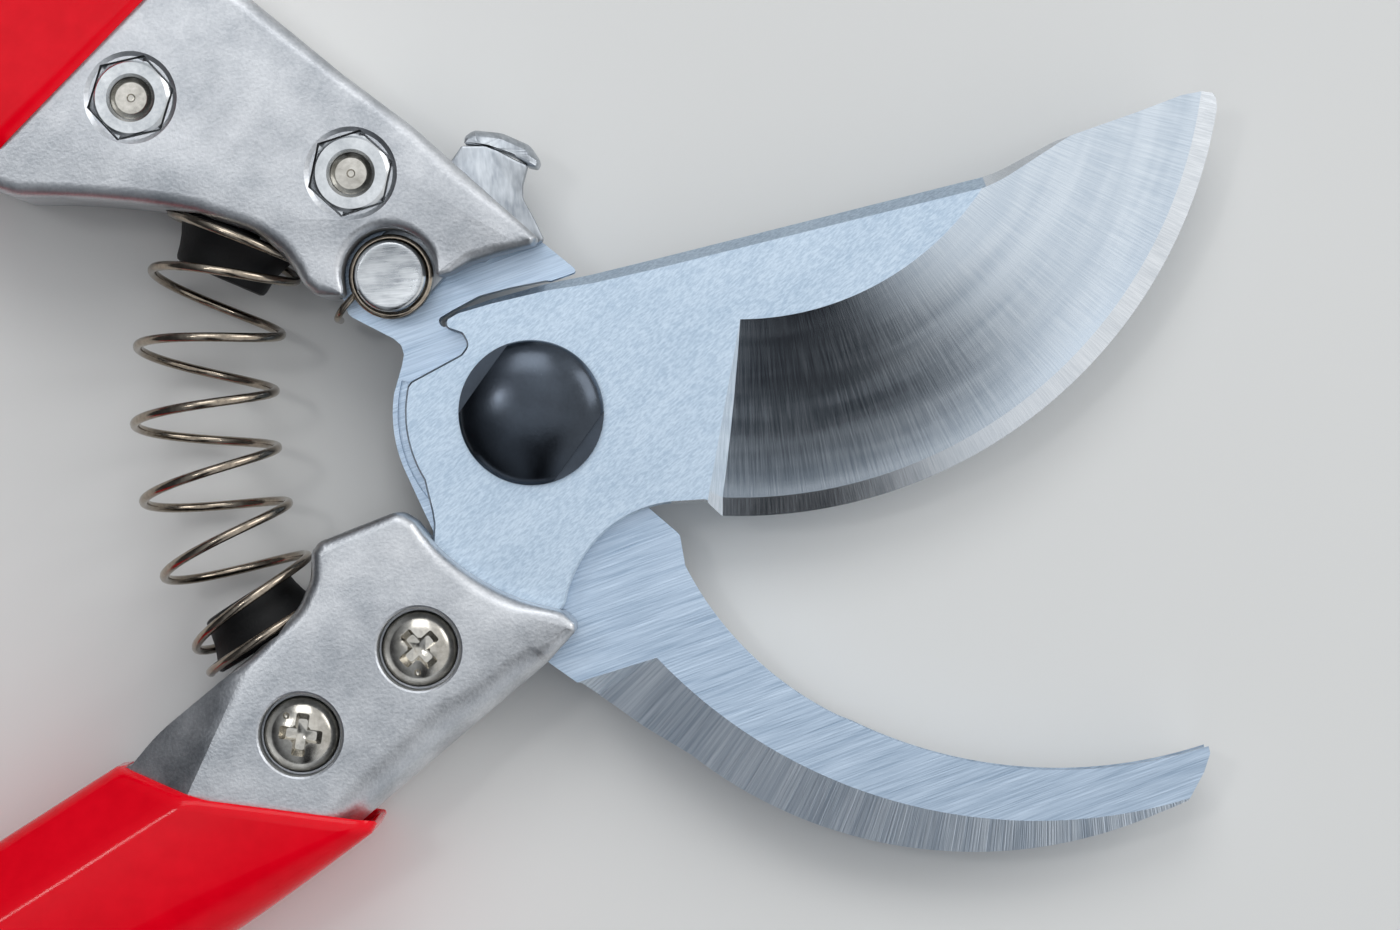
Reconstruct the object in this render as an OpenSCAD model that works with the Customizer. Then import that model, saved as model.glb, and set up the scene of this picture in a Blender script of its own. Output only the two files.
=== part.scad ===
// Bypass pruning shears, shown fully open and lying flat on their side.
// Origin: pivot axis, at the face of the pivot nut that rests on the table. +X points to the jaws.

/* [Blades] */
// Distance from the pivot to the tip of the cutting blade
blade_reach = 73; // [65:1:88]
// Thickness of the cutting blade
blade_t = 3.6; // [3:0.1:4.5]
// Thickness of the hook blade
hook_t = 4; // [3.2:0.1:5]
// Width of the hollow grind behind the cutting edge
grind_w = 19; // [15:0.5:22]
// Width of the sharpened bevel along the cutting edge
edge_w = 2; // [1.2:0.1:3]
// Thickness left at the cutting edge
edge_t = 0.4; // [0.2:0.1:0.8]
// Radius of the cutting blade's hub
hub_r = 12.2; // [11.5:0.1:12.5]
// Depth of the sap groove around the hub
groove_depth = 0.6; // [0.3:0.1:1]
// Running gap between two parts that slide on each other
slide_gap = 0.1; // [0.05:0.05:0.2]

/* [Pivot] */
// Diameter of the pivot bolt
pivot_d = 8; // [6:0.5:10]
// Diameter of the pivot bolt's head
pivot_head_d = 14; // [12:0.5:17]
// Height of the pivot bolt's domed head
pivot_head_h = 3; // [2:0.1:4]
// Distance between the two flats on the head
pivot_flats = 11.2; // [9:0.1:12]
// Width of the pivot nut across its flats
pivot_nut_af = 13; // [12:0.5:16]
// Height of the pivot nut
pivot_nut_h = 3; // [2.5:0.1:4]
// Thickness of the washer under the pivot nut
washer_t = 0.8; // [0.5:0.1:1.2]
// Radial clearance of a shaft that turns in its bore
run_gap = 0.05; // [0.02:0.01:0.1]

/* [Handles] */
// Distance from the pivot to the end of the handles
handle_reach = 155; // [135:1:186]
// Thickness of the handle over the cutting blade
cheek_t = 4.5; // [4:0.1:6]
// Thickness of the handle under the hook blade
under_t = 2.8; // [2.6:0.1:4]
// Distance from the grip's outside to the metal inside it
grip_wall = 3.3; // [2.6:0.1:4]
// Gap between a blade's tang and its slot
tang_gap = 0.1; // [0.05:0.05:0.3]

/* [Handle screws] */
// Diameter of the handle screws
screw_d = 4; // [3:0.5:5]
// Diameter of the screw heads
screw_head_d = 7; // [6:0.1:8.4]
// Height of the screw heads
screw_head_h = 2.4; // [1.8:0.1:2.8]
// Width of the screw nuts across their flats
nut_af = 7; // [6:0.1:8.4]
// Height of the screw nuts
nut_h = 3.2; // [2.4:0.1:3.6]
// Clearance around a screw, its head and its nut
screw_gap = 0.2; // [0.1:0.05:0.5]

/* [Main spring] */
// Outer diameter of the main spring
spring_d = 14.5; // [12:0.5:14.5]
// Diameter of the main spring's wire
wire_d = 0.9; // [0.7:0.05:1.2]
// Number of turns in the main spring
turns = 7.5; // [5:0.5:9]
// Distance from the pivot to the rubber spring seats
seat_reach = 33; // [31:0.5:36]
// Height of the rubber spring seats
seat_h = 5; // [4:0.1:6]
// Gap between the spring's turns and its seat
seat_gap = 0.35; // [0.2:0.05:0.6]
// Closing travel of the cutting blade, in degrees
travel = 55; // [40:1:55]

/* [Lock] */
// Thickness of the thumb lever
lever_t = 2.5; // [2:0.1:3]
// Diameter of the pin that the thumb lever turns on
pin_d = 4; // [3:0.1:5]
// Diameter of the pin's button head
button_d = 6.9; // [6:0.1:7.5]
// Diameter of the lock spring's wire
lock_wire_d = 0.7; // [0.5:0.05:0.8]

/* [Hidden] */
$fn = 48;
fine = 0.01;

// Gaps: a handle over the hook blade, the thumb lever under its handle, the thumb lever's eye
sweep_gap = 0.3;
lever_gap = 0.15;
eye_gap = 1.5;
// Screws: how deep their heads sit, and how far their ends stay below the nut's face
hook_head_sink = 1.8;
blade_head_sink = 0.3;
end_sink = 0.6;
nut_sink = 0.1;

// Heights of the stack, from the table up
hook_z0 = pivot_nut_h + washer_t;
hook_z1 = hook_z0 + hook_t;
blade_z0 = hook_z1 + slide_gap;
blade_z1 = blade_z0 + blade_t;
handle_z0 = hook_z0 - under_t;
handle_z1 = blade_z1 + cheek_t;
mid_z = (handle_z0 + handle_z1) / 2;
over_hook_z = hook_z1 + sweep_gap;
lever_z0 = hook_z1 + lever_gap;
lever_z1 = lever_z0 + lever_t;

// The jaws grow and shrink with the blade's reach, and the hub between them stays
jaw = blade_reach / 73;
edge_c = jaw * [20, 37];
edge_r = jaw * 47;
grind_r = edge_r - grind_w;

// Places that more than one part uses
lock_at = [-13.5, 13.1];
eye_r = 4;
heel_r = 20.5;
finger = [1.3, 12.9];
lip_h = 3;
hook_screws = [[-17.1, 22.8], [-38.1, 30]];
hook_nut_turns = [18, 13];
hook_nut_z = handle_z1 - nut_h - nut_sink;
blade_screws = [[-10.6, -22.6], [-21.9, -30.8]];
blade_nut_turn = 15;
blade_head_z = handle_z1 - screw_head_h - blade_head_sink;
hook_axis = 151;
blade_axis = 211;

// Spring seats: their tips meet half a millimetre after the end of the travel
seat_play = 0.9;
seat_mid = 184.65;
seat_half = (travel + seat_play) / 2;
coil_r = (spring_d - wire_d) / 2;
seat_r = coil_r - wire_d / 2 - seat_gap;
seat_tip_r = seat_r - 1.3;
seat_base = [
    seat_reach * cos(seat_half) - seat_h * sin(seat_half),
    seat_reach * sin(seat_half) + seat_h * cos(seat_half)
];
plug_d = 4;
plug_l = 3;

function polar(r, a) = r * [cos(a), sin(a)];
function arc(c, r, a0, a1, n = 16) = [for (i = [0:n]) c + polar(r, a0 + (a1 - a0) * i / n)];
function unit(v) = v / norm(v);

// Rings round a path, carried along it without twisting
function tangents(p) = [
    for (i = [0:len(p) - 1]) unit(p[min(i + 1, len(p) - 1)] - p[max(i - 1, 0)])
];
function normals(t, first) = [
    for (i = 0, n = unit(first - (first * t[0]) * t[0]); i < len(t);
         i = i + 1, n = i < len(t) ? unit(n - (n * t[i]) * t[i]) : n) n
];

module wire(path, d, first, sides = 8) {
    t = tangents(path);
    n = normals(t, first);
    last = len(path) - 1;
    points = [
        for (i = [0:last]) for (k = [0:sides - 1])
            path[i] + d / 2 * (cos(360 * k / sides) * n[i] + sin(360 * k / sides) * cross(t[i], n[i]))
    ];
    faces = concat(
        [[for (k = [0:sides - 1]) k]],
        [for (i = [0:last - 1]) for (k = [0:sides - 1]) let (a = i * sides, b = a + sides, m = (k + 1) % sides)
            [a + k, b + k, b + m, a + m]],
        [[for (k = [sides - 1:-1:0]) last * sides + k]]
    );
    polyhedron(points, faces, convexity = 10);
}

// A plate of a given outline between two heights
module plate(outline, z0, z1) {
    translate([0, 0, z0]) linear_extrude(z1 - z0) polygon(outline);
}

module bore(at, d, z0, z1) {
    translate([at[0], at[1], z0]) cylinder(d = d, h = z1 - z0);
}

module hexagon(at, af, z0, z1, turn = 0) {
    translate([at[0], at[1], z0]) rotate(turn) cylinder(d = af / cos(30), h = z1 - z0, $fn = 6);
}

// ---- outlines ----

blade_outline = concat(
    arc(edge_c, edge_r, -92, -9, 36),
    jaw * [[66.3, 30.6], [66, 31], [64.9, 31.2], [58.5, 29.1], [50.4, 26.2], [44.5, 23]],
    [[11.4, 14.7], [5.7, 13.3], [1.3, 12.4]],
    [[-4, 10.9], [-7.2, 9.8], [-8.1, 9.2], [-8.4, 8.8]],
    [[-8.1, 8.1], [-6.7, 7.6], [-6.2, 6.5], [-6.9, 5.6], [-11.6, 3]],
    arc([0, 0], hub_r, 168, 212, 8),
    [[-9.6, -9.5], [-9.4, -10.7], [-9.5, -12.4]],
    [[-13, -18.5], [-17.5, -25.5], [-21, -27.5], [-27, -30.5], [-27.5, -34], [-24, -36], [-15, -36]],
    [[-3, -26.5], [1.5, -21.5]],
    arc([14.7, -20.2], 11.55, 170, 96, 12),
    jaw * [[16.8, -8.5]]
);

hook_outline = concat(
    [finger],
    arc([0, 0], hub_r - 0.2, 80, -40, 20),
    [[14.1, -11.9]],
    jaw * arc([44.2, 0.2], 33.2, -153, -116, 10),
    jaw * arc([51.25, 11.25], 46.1, -116, -72, 14),
    jaw * [[65.6, -33], [65, -34.8]],
    jaw * arc([42.75, 1.6], 44.3, -62, -128, 20),
    [jaw * [10.8, -30.5], [1.6, -24], [-3, -20], [-8, -14.5], [-10.6, -9]],
    arc([0, 0], 13.4, 205, 172, 8),
    [[-12.5, 4.6], [-12.3, 5.7], [-12.6, 6.7], [-13.4, 7.4], [-17.7, 9.6]],
    [[-18.5, 12], [-20.5, 17], [-24, 22.5], [-33, 25], [-43, 27], [-44, 32], [-38, 35.5], [-19.5, 30.5]],
    [[-12, 26.4], [-3.5, 19.4], [1.1, 16.2], [3.9, 13.7]]
);

finger_slot = [
    finger, [-2.2, 12.2], [-5.2, 11.4], [-7.8, 10], [-9.3, 9.1],
    [-8.8, 8.3], [-6.5, 8.8], [-2, 10.5], [3, 11.2], [4, 12.6]
];

hook_handle_outline = concat(
    [[0.5, 16.6], [-3, 20], [-11.2, 27.3], [-17.9, 32.3], [-26.8, 39.6], [-32.1, 44.1]],
    [[-53, 22.5], [-51.4, 21.1], [-49.1, 20.5]],
    arc([-47.5, -60.8], 81.3, 90, 79, 6),
    [[-26.5, 17.3], [-24, 15.4], [-22.5, 13.6], [-21.6, 12], [-20.6, 11.2], [-19.1, 11.1]],
    [[-8.1, 13], [-5.6, 14.2], [-3.2, 15.1], [0.3, 15.9]]
);

blade_handle_outline = concat(
    [[-12.6, -9.4], [-20.4, -12.5], [-20.9, -13.2], [-21, -16], [-22.1, -18.7], [-26.5, -23.2]],
    [[-35.8, -30.8], [-38.8, -34.2], [-26.7, -37.8], [-14.9, -38.8]],
    [[1.8, -24], [4.3, -20.9], [4.3, -20.2], [3.1, -18.9]],
    arc([6.3, 2.5], 21.65, -101, -137, 10),
    [[-11.6, -9.8]]
);

lever_outline = concat(
    arc(lock_at, eye_r, 110, 300, 14),
    [[-8, 13.6], [-6, 14.9], [-4.6, 14.6], [-3.6, 15.4], [0.2, 16.1], [1.2, 16.7]],
    [[0.2, 18.8], [-0.8, 20.7], [-1, 21.5], [-0.4, 23.8], [0.5, 23.6], [0.8, 24.4]],
    [[-0.2, 25.9], [-2.9, 27.1], [-4.9, 27.4], [-5.8, 27.4], [-6.5, 26.8], [-7.6, 24.6], [-12.5, 19]]
);

// Grip sections along each handle: share of the length, offset from its axis, width
grip_start = 46;
hook_sections = [
    [0, 8.5, 29], [0.14, 8.5, 27.5], [0.3, 10.5, 24], [0.5, 12.5, 21.5], [0.75, 11.5, 20], [1, 7.5, 17]
];
blade_sections = [
    [0, 17.4, 17], [0.2, 18.4, 19.6], [0.4, 19.2, 20.2], [0.6, 17.5, 20.4], [0.8, 13.5, 19.5], [1, 7.5, 17]
];
blade_grip_start = 26;

function station(s, start) = start + s[0] * (handle_reach - mid_z - start);

// One handle's grip, as rounded sections joined in turn. side is 1 when it bulges to the left of its axis
module grip_form(sections, start, axis, side) {
    rotate(axis) for (i = [0:len(sections) - 2])
        hull() for (s = [sections[i], sections[i + 1]]) for (e = [-1, 1])
            translate([station(s, start), side * (s[1] + e * max(0, s[2] / 2 - mid_z)), mid_z])
                sphere(r = mid_z, $fn = 24);
}

// The metal arm inside a grip
module arm(sections, start, axis, side) {
    outer = [for (s = sections) [station(s, start), side * (s[1] + s[2] / 2 - grip_wall)]];
    inner = [for (i = [len(sections) - 1:-1:0])
        [station(sections[i], start), side * (sections[i][1] - sections[i][2] / 2 + grip_wall)]];
    rotate(axis) plate(concat(outer, inner), grip_wall, 2 * mid_z - grip_wall);
}

// ---- shared pieces ----

// Pan head screw with a cross recess. Its head is at the top
module screw(length) {
    difference() {
        union() {
            translate([0, 0, -length]) cylinder(d = screw_d, h = length + fine);
            rotate_extrude() polygon(concat(
                [[0, 0], [screw_head_d / 2, 0], [screw_head_d / 2, 0.9]],
                [for (a = [15:15:90]) [screw_head_d / 2 * cos(a), 0.9 + (screw_head_h - 0.9) * sin(a)]]
            ));
        }
        for (a = [0, 90]) rotate(a) translate([-2, -0.5, screw_head_h - 1.3]) cube([4, 1, 2]);
    }
}

module screw_nut(at, z0, turn) {
    difference() {
        hexagon(at, nut_af, z0, z0 + nut_h, turn);
        bore(at, screw_d + 2 * run_gap, z0 - 1, z0 + nut_h + 1);
    }
}

// Puts its children on the spring seat of one handle: +Z along the seat's axis, its base at 0
module at_seat(side) {
    rotate(seat_mid) translate([seat_base[0], side * seat_base[1], mid_z])
        rotate(side * (90 + seat_half) + 180) rotate([0, 90, 0]) children();
}

module spring_seat() {
    cylinder(r1 = seat_r, r2 = seat_tip_r, h = seat_h);
    translate([0, 0, -plug_l]) cylinder(d = plug_d, h = plug_l + fine);
}

// Flat face and hole for a spring seat in its handle
module seat_cut() {
    cylinder(d = spring_d + 0.3, h = 12);
    translate([0, 0, -plug_l - 0.2]) cylinder(d = plug_d + 2 * run_gap, h = plug_l + 1);
}

// ---- hook side ----

module hook_blade() color("silver") {
    bevel_c = jaw * [49, 11.4];
    bevel_r = jaw * 51;
    bevel_h = 2.6;
    difference() {
        plate(hook_outline, hook_z0, hook_z1);
        bore([0, 0], pivot_d + 2 * run_gap, hook_z0 - 1, hook_z1 + 1);
        bore(lock_at, pin_d + 2 * run_gap, hook_z0 - 1, hook_z1 + 1);
        for (at = hook_screws) bore(at, screw_d + 2 * screw_gap, hook_z0 - 1, hook_z1 + 1);
        // slot between the finger and the hub
        plate(finger_slot, hook_z0 - 1, hook_z1 + 1);
        // sap groove on the side away from the jaws
        intersection() {
            difference() {
                bore([0, 0], 2 * (hub_r + 0.9), hook_z1 - groove_depth, hook_z1 + 1);
                bore([0, 0], 2 * (hub_r - 0.4), hook_z1 - groove_depth - 1, hook_z1 + 2);
            }
            plate([[0, 0], [-16, 4], [-16, -18], [-4, -18]], 0, hook_z1 + 2);
        }
        // long bevel down to the outer edge
        intersection() {
            difference() {
                bore(bevel_c, 2 * bevel_r + 60, hook_z1 - bevel_h, hook_z1 + 1);
                translate([bevel_c[0], bevel_c[1], hook_z1 - bevel_h])
                    cylinder(r1 = bevel_r + 8, r2 = bevel_r, h = bevel_h + fine);
            }
            plate([[12, -23.8], [5, -26], [5, -90], [120, -90], [120, -20]], 0, hook_z1 + 2);
        }
    }
}

module hook_handle() color("darkgray") {
    lever_room = [[-13, 18.5], [-14.5, 6], [8, 6], [8, 34], [-8, 34]];
    low_side = [[-15, -10], [-15, 60], [-70, 60], [-70, -10]];
    lower_z0 = handle_z0 - 1;
    difference() {
        union() {
            plate(hook_handle_outline, handle_z0, handle_z1);
            arm(hook_sections, grip_start, hook_axis, -1);
        }
        // nothing beside the tang under the thumb lever, and room for the lever and its coil
        plate([[-15, -10], [-15, 60], [10, 60], [10, -10]], lower_z0, hook_z1);
        plate(lever_room, hook_z1 - 1, lever_z1 + lever_gap);
        bore(lock_at, 2 * (eye_r + eye_gap), hook_z1 - 1, lever_z1 + lever_gap);
        bore(lock_at, 2 * (lock_coil_r + lock_wire_d / 2 + 0.5), lower_z0, handle_z1 + 1);
        // slot for the hook's tang
        translate([0, 0, hook_z0 - tang_gap]) linear_extrude(hook_t + tang_gap) offset(delta = tang_gap)
            intersection() { polygon(hook_outline); polygon(low_side); }
        for (at = hook_screws) {
            bore(at, screw_d + 2 * screw_gap, lower_z0, handle_z1 + 1);
            bore(at, screw_head_d + 2 * screw_gap, lower_z0, handle_z0 + hook_head_sink);
        }
        for (i = [0, 1])
            hexagon(hook_screws[i], nut_af + 2 * screw_gap, hook_nut_z, handle_z1 + 1, hook_nut_turns[i]);
        at_seat(-1) seat_cut();
    }
}

module hook_grip() color("crimson") difference() {
    grip_form(hook_sections, grip_start, hook_axis, -1);
    arm(hook_sections, grip_start, hook_axis, -1);
    plate([[-32.1, 44.1], [-53, 22.5], [-60, -20], [40, -20], [40, 90], [10, 90]], -1, 30);
}

module hook_screw(at) color("lightgray")
    translate([at[0], at[1], handle_z0 + hook_head_sink]) mirror([0, 0, 1])
        screw(handle_z1 - handle_z0 - hook_head_sink - end_sink);

module hook_screw_front() hook_screw(hook_screws[0]);
module hook_screw_rear() hook_screw(hook_screws[1]);
module hook_nut_front() color("lightgray") screw_nut(hook_screws[0], hook_nut_z, hook_nut_turns[0]);
module hook_nut_rear() color("lightgray") screw_nut(hook_screws[1], hook_nut_z, hook_nut_turns[1]);
module hook_spring_seat() color("black") at_seat(-1) spring_seat();

// ---- pivot ----

module pivot_bolt() color("dimgray") {
    flange_t = 0.8;
    head_z = blade_z1 + slide_gap;
    dome_h = pivot_head_h - flange_t;
    difference() {
        union() {
            cylinder(d = pivot_d, h = head_z + fine);
            translate([0, 0, head_z]) rotate_extrude() polygon(concat(
                [[0, 0], [pivot_head_d / 2, 0], [pivot_head_d / 2, flange_t]],
                [for (a = [10:10:90]) [pivot_head_d / 2 * cos(a), flange_t + dome_h * sin(a)]]
            ));
        }
        for (side = [0, 180]) rotate(54.4 + side)
            translate([-20, pivot_flats / 2, head_z + flange_t]) cube([40, 10, 10]);
    }
}

module pivot_washer() color("gray") difference() {
    bore([0, 0], pivot_nut_af + 1.5, pivot_nut_h, hook_z0);
    bore([0, 0], pivot_d + 2 * run_gap, 0, hook_z1);
}

module pivot_nut() color("dimgray") difference() {
    hexagon([0, 0], pivot_nut_af, 0, pivot_nut_h, 10);
    bore([0, 0], pivot_d + 2 * run_gap, -1, pivot_nut_h + 1);
}

// ---- lock ----

lock_coil_r = button_d / 2 + 0.3;
lock_coil_z = lever_z1 + lever_gap + lock_wire_d / 2;
lock_pitch = lock_wire_d + 0.1;
lock_turns = 1.75;
button_z = lock_coil_z + lock_turns * lock_pitch + lock_wire_d / 2 + 0.1;

module lock_pin() color("silver") {
    bottom = hook_z0 - 1.4;
    bore(lock_at, pin_d, bottom, button_z + fine);
    bore(lock_at, button_d, button_z, button_z + 1.4);
}

module lock_clip() color("gray") difference() {
    bore(lock_at, pin_d + 3.6, hook_z0 - 0.9, hook_z0 - slide_gap);
    bore(lock_at, pin_d + 2 * run_gap, 0, hook_z1);
}

// Torsion spring: a leg hooked over the tang's edge, the coil, and a short leg on the lever
module lock_spring() color("tan") {
    start = 205;
    leg = [[-18.9, 9.1, hook_z0 + 0.5], [-18.9, 9.1, hook_z1 + 1], [-18.7, 9.4, lock_coil_z - 0.6],
        [-18.1, 10.2, lock_coil_z]];
    coil = [for (a = [0:15:360 * lock_turns])
        concat(lock_at + polar(lock_coil_r, start - a), [lock_coil_z + lock_pitch * a / 360])];
    wire(concat(leg, coil), lock_wire_d, [1, 0, 0], 6);
}

module lock_lever() color("silver") difference() {
    union() {
        plate(lever_outline, lever_z0, lever_z1);
        // lip along the thumb tab, bent down
        plate(concat(
            [[-6.9, 26.1], [-6.4, 26.8], [-5.8, 27.4], [-4.9, 27.4], [-2.9, 27.1], [-0.2, 25.9]],
            [[0.8, 24.4], [0.5, 23.6], [-0.4, 23.9], [-1.8, 24.9], [-4.2, 26], [-6.4, 26]]
        ), lever_z0 - lip_h, lever_z1 - fine);
    }
    bore(lock_at, pin_d + 2 * run_gap, 0, lever_z1 + 1);
}

// ---- blade side ----

module cutting_blade() color("lightsteelblue") {
    ground = [jaw * [20.3, 8.9], jaw * [18.3, -9.7], jaw * [18, -30], jaw * [90, -30], jaw * [90, 60],
        jaw * [44.5, 60], jaw * [36, 20]];
    hollow = blade_t * 0.75;
    difference() {
        plate(blade_outline, blade_z0, blade_z1);
        bore([0, 0], pivot_d + 2 * run_gap, blade_z0 - 1, blade_z1 + 1);
        for (at = blade_screws) bore(at, screw_d + 2 * screw_gap, blade_z0 - 1, blade_z1 + 1);
        // hollow grind, then the sharpened bevel
        intersection() {
            difference() {
                bore(edge_c, 2 * edge_r + 20, blade_z0 - 1, blade_z1 + 1);
                translate([edge_c[0], edge_c[1], blade_z1 - hollow])
                    cylinder(r1 = edge_r - edge_w, r2 = grind_r, h = hollow + fine);
                translate([edge_c[0], edge_c[1], blade_z0 + edge_t])
                    cylinder(r1 = edge_r, r2 = edge_r - edge_w, h = blade_t - hollow - edge_t + fine);
                bore(edge_c, 2 * edge_r + 1, blade_z0 - 2, blade_z0 + edge_t + fine);
            }
            plate(ground, 0, blade_z1 + 2);
        }
    }
}

module blade_handle() color("darkgray") {
    low = handle_z0 - 1;
    difference() {
        union() {
            plate(blade_handle_outline, handle_z0, handle_z1);
            arm(blade_sections, blade_grip_start, blade_axis, 1);
        }
        // the lower half keeps clear of the hook blade's heel
        bore([0, 0], 2 * heel_r, low, over_hook_z);
        plate([[-5, 0], [-5, -60], [20, -60], [20, 0]], low, over_hook_z);
        // slot for the blade's tang
        translate([0, 0, blade_z0 - tang_gap]) linear_extrude(blade_t + tang_gap)
            offset(delta = tang_gap) polygon(blade_outline);
        for (at = blade_screws) {
            bore(at, screw_d + 2 * screw_gap, low, handle_z1 + 1);
            bore(at, screw_head_d + 5 * screw_gap, blade_head_z, handle_z1 + 1);
            hexagon(at, nut_af + 2 * screw_gap, low, handle_z0 + nut_h + nut_sink, blade_nut_turn);
        }
        at_seat(1) seat_cut();
    }
}

module blade_grip() color("crimson") difference() {
    grip_form(blade_sections, blade_grip_start, blade_axis, 1);
    arm(blade_sections, blade_grip_start, blade_axis, 1);
    plate(concat(
        [[-38.8, -34.2], [-26.7, -37.8], [-14.9, -38.8], [-2, -39]],
        [[30, -60], [30, 20], [-60, 20]]
    ), -1, 30);
}

module blade_screw(at) color("lightgray")
    translate([at[0], at[1], blade_head_z]) rotate(42)
        screw(blade_head_z - handle_z0 - end_sink);

module blade_screw_front() blade_screw(blade_screws[0]);
module blade_screw_rear() blade_screw(blade_screws[1]);
module blade_nut(at) color("lightgray") screw_nut(at, handle_z0 + nut_sink, blade_nut_turn);
module blade_nut_front() blade_nut(blade_screws[0]);
module blade_nut_rear() blade_nut(blade_screws[1]);
module blade_spring_seat() color("black") at_seat(1) spring_seat();

// Share of the spring's length reached at a share of its turns: slow over the end turns, then even
function along(t, end, rise) =
    t < end ? rise * t
    : t > 1 - end ? 1 - rise * (1 - t)
    : rise * end + (t - end) * (1 - 2 * rise * end) / (1 - 2 * end);

// Main spring: its axis is the arc that leaves both seats squarely
module main_spring() color("tan") {
    bow_r = seat_base[1] / sin(seat_half);
    bow_x = seat_base[0] - bow_r * cos(seat_half);
    lift = (wire_d / 2 + 0.06) / bow_r * 180 / PI;
    half = seat_half - lift;
    steps = 18 * turns;
    path = [for (i = [0:steps]) let (
        t = i / steps,
        a = half * (1 - 2 * along(t, 0.75 / turns, 0.15)),
        turn = 360 * turns * t,
        r = bow_r + coil_r * cos(turn)
    ) [bow_x + r * cos(a), r * sin(a), mid_z + coil_r * sin(turn)]];
    rotate(seat_mid) wire(path, wire_d, [1, 0, 0], 8);
}

hook_blade();
hook_handle();
hook_grip();
hook_screw_front();
hook_screw_rear();
hook_nut_front();
hook_nut_rear();
hook_spring_seat();
pivot_bolt();
pivot_washer();
pivot_nut();
lock_pin();
lock_clip();
lock_spring();
lock_lever();
cutting_blade();
blade_handle();
blade_grip();
blade_screw_front();
blade_screw_rear();
blade_nut_front();
blade_nut_rear();
blade_spring_seat();
main_spring();
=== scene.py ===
from math import ceil, cos, degrees, dist, exp, pi, radians, sin, tan

import bmesh
import bpy
import numpy as np
from mathutils import Matrix, Vector


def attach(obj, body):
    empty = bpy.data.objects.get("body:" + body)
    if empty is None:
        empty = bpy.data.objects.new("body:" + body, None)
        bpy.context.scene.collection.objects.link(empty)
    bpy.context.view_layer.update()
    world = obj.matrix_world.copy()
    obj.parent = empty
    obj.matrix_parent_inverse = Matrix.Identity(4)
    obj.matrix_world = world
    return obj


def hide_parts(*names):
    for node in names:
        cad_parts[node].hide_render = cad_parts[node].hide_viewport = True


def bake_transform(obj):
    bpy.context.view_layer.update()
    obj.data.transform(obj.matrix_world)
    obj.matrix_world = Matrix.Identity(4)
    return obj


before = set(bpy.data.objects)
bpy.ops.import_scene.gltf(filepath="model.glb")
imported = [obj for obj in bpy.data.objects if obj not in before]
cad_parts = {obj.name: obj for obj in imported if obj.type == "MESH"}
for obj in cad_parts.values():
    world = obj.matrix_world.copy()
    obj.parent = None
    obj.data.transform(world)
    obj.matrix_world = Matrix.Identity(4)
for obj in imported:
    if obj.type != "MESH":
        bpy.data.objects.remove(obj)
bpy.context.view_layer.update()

mm = 0.001


# points and outlines are all in millimetres
def polar(centre, radius, degrees):
    angle = radians(degrees)
    return (centre[0] + radius * cos(angle), centre[1] + radius * sin(angle))


def arc(centre, radius, start, end, steps):
    return [polar(centre, radius, start + (end - start) * i / steps) for i in range(steps + 1)]


def rounded(corners, steps=6):
    # each corner is (x, y) or (x, y, radius)
    points = []
    count = len(corners)
    for i, corner in enumerate(corners):
        here = Vector(corner[:2])
        before = Vector(corners[i - 1][:2]) - here
        after = Vector(corners[(i + 1) % count][:2]) - here
        radius = corner[2] if len(corner) > 2 else 0
        turn = pi - before.angle(after, pi)
        if radius == 0 or turn < 0.02:
            points.append(tuple(here))
            continue
        reach = min(radius * tan(turn / 2), 0.48 * before.length, 0.48 * after.length)
        radius = reach / tan(turn / 2)
        middle = (before.normalized() + after.normalized()).normalized()
        centre = here + middle * radius / cos(turn / 2)
        first = here + before.normalized() * reach - centre
        last = here + after.normalized() * reach - centre
        side = 1 if first.x * last.y - first.y * last.x > 0 else -1
        for k in range(steps + 1):
            spin = Matrix.Rotation(side * turn * k / steps, 2)
            points.append(tuple(centre + spin @ first))
    return points


def withoutDoubles(points, closest=0.02):
    kept = []
    for point in points:
        if not kept or dist(point, kept[-1]) > closest:
            kept.append(point)
    if dist(kept[0], kept[-1]) <= closest:
        kept.pop()
    return kept


def subdivided(points, longest):
    # extra points along the long straight stretches
    filled = []
    for i, point in enumerate(points):
        end = points[(i + 1) % len(points)]
        parts = max(1, ceil(dist(point, end) / longest))
        filled += [tuple(np.array(point) + (np.array(end) - point) * k / parts) for k in range(parts)]
    return filled


def inwards(points):
    # the step that moves each point of a counterclockwise outline one millimetre inside
    ring = np.array(points)
    back = ring - np.roll(ring, 1, axis=0)
    ahead = np.roll(ring, -1, axis=0) - ring
    back /= np.linalg.norm(back, axis=1)[:, None]
    ahead /= np.linalg.norm(ahead, axis=1)[:, None]
    n1 = np.stack([-back[:, 1], back[:, 0]], axis=1)
    n2 = np.stack([-ahead[:, 1], ahead[:, 0]], axis=1)
    return (n1 + n2) / np.maximum(1 + (n1 * n2).sum(axis=1), 0.35)[:, None]


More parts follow.
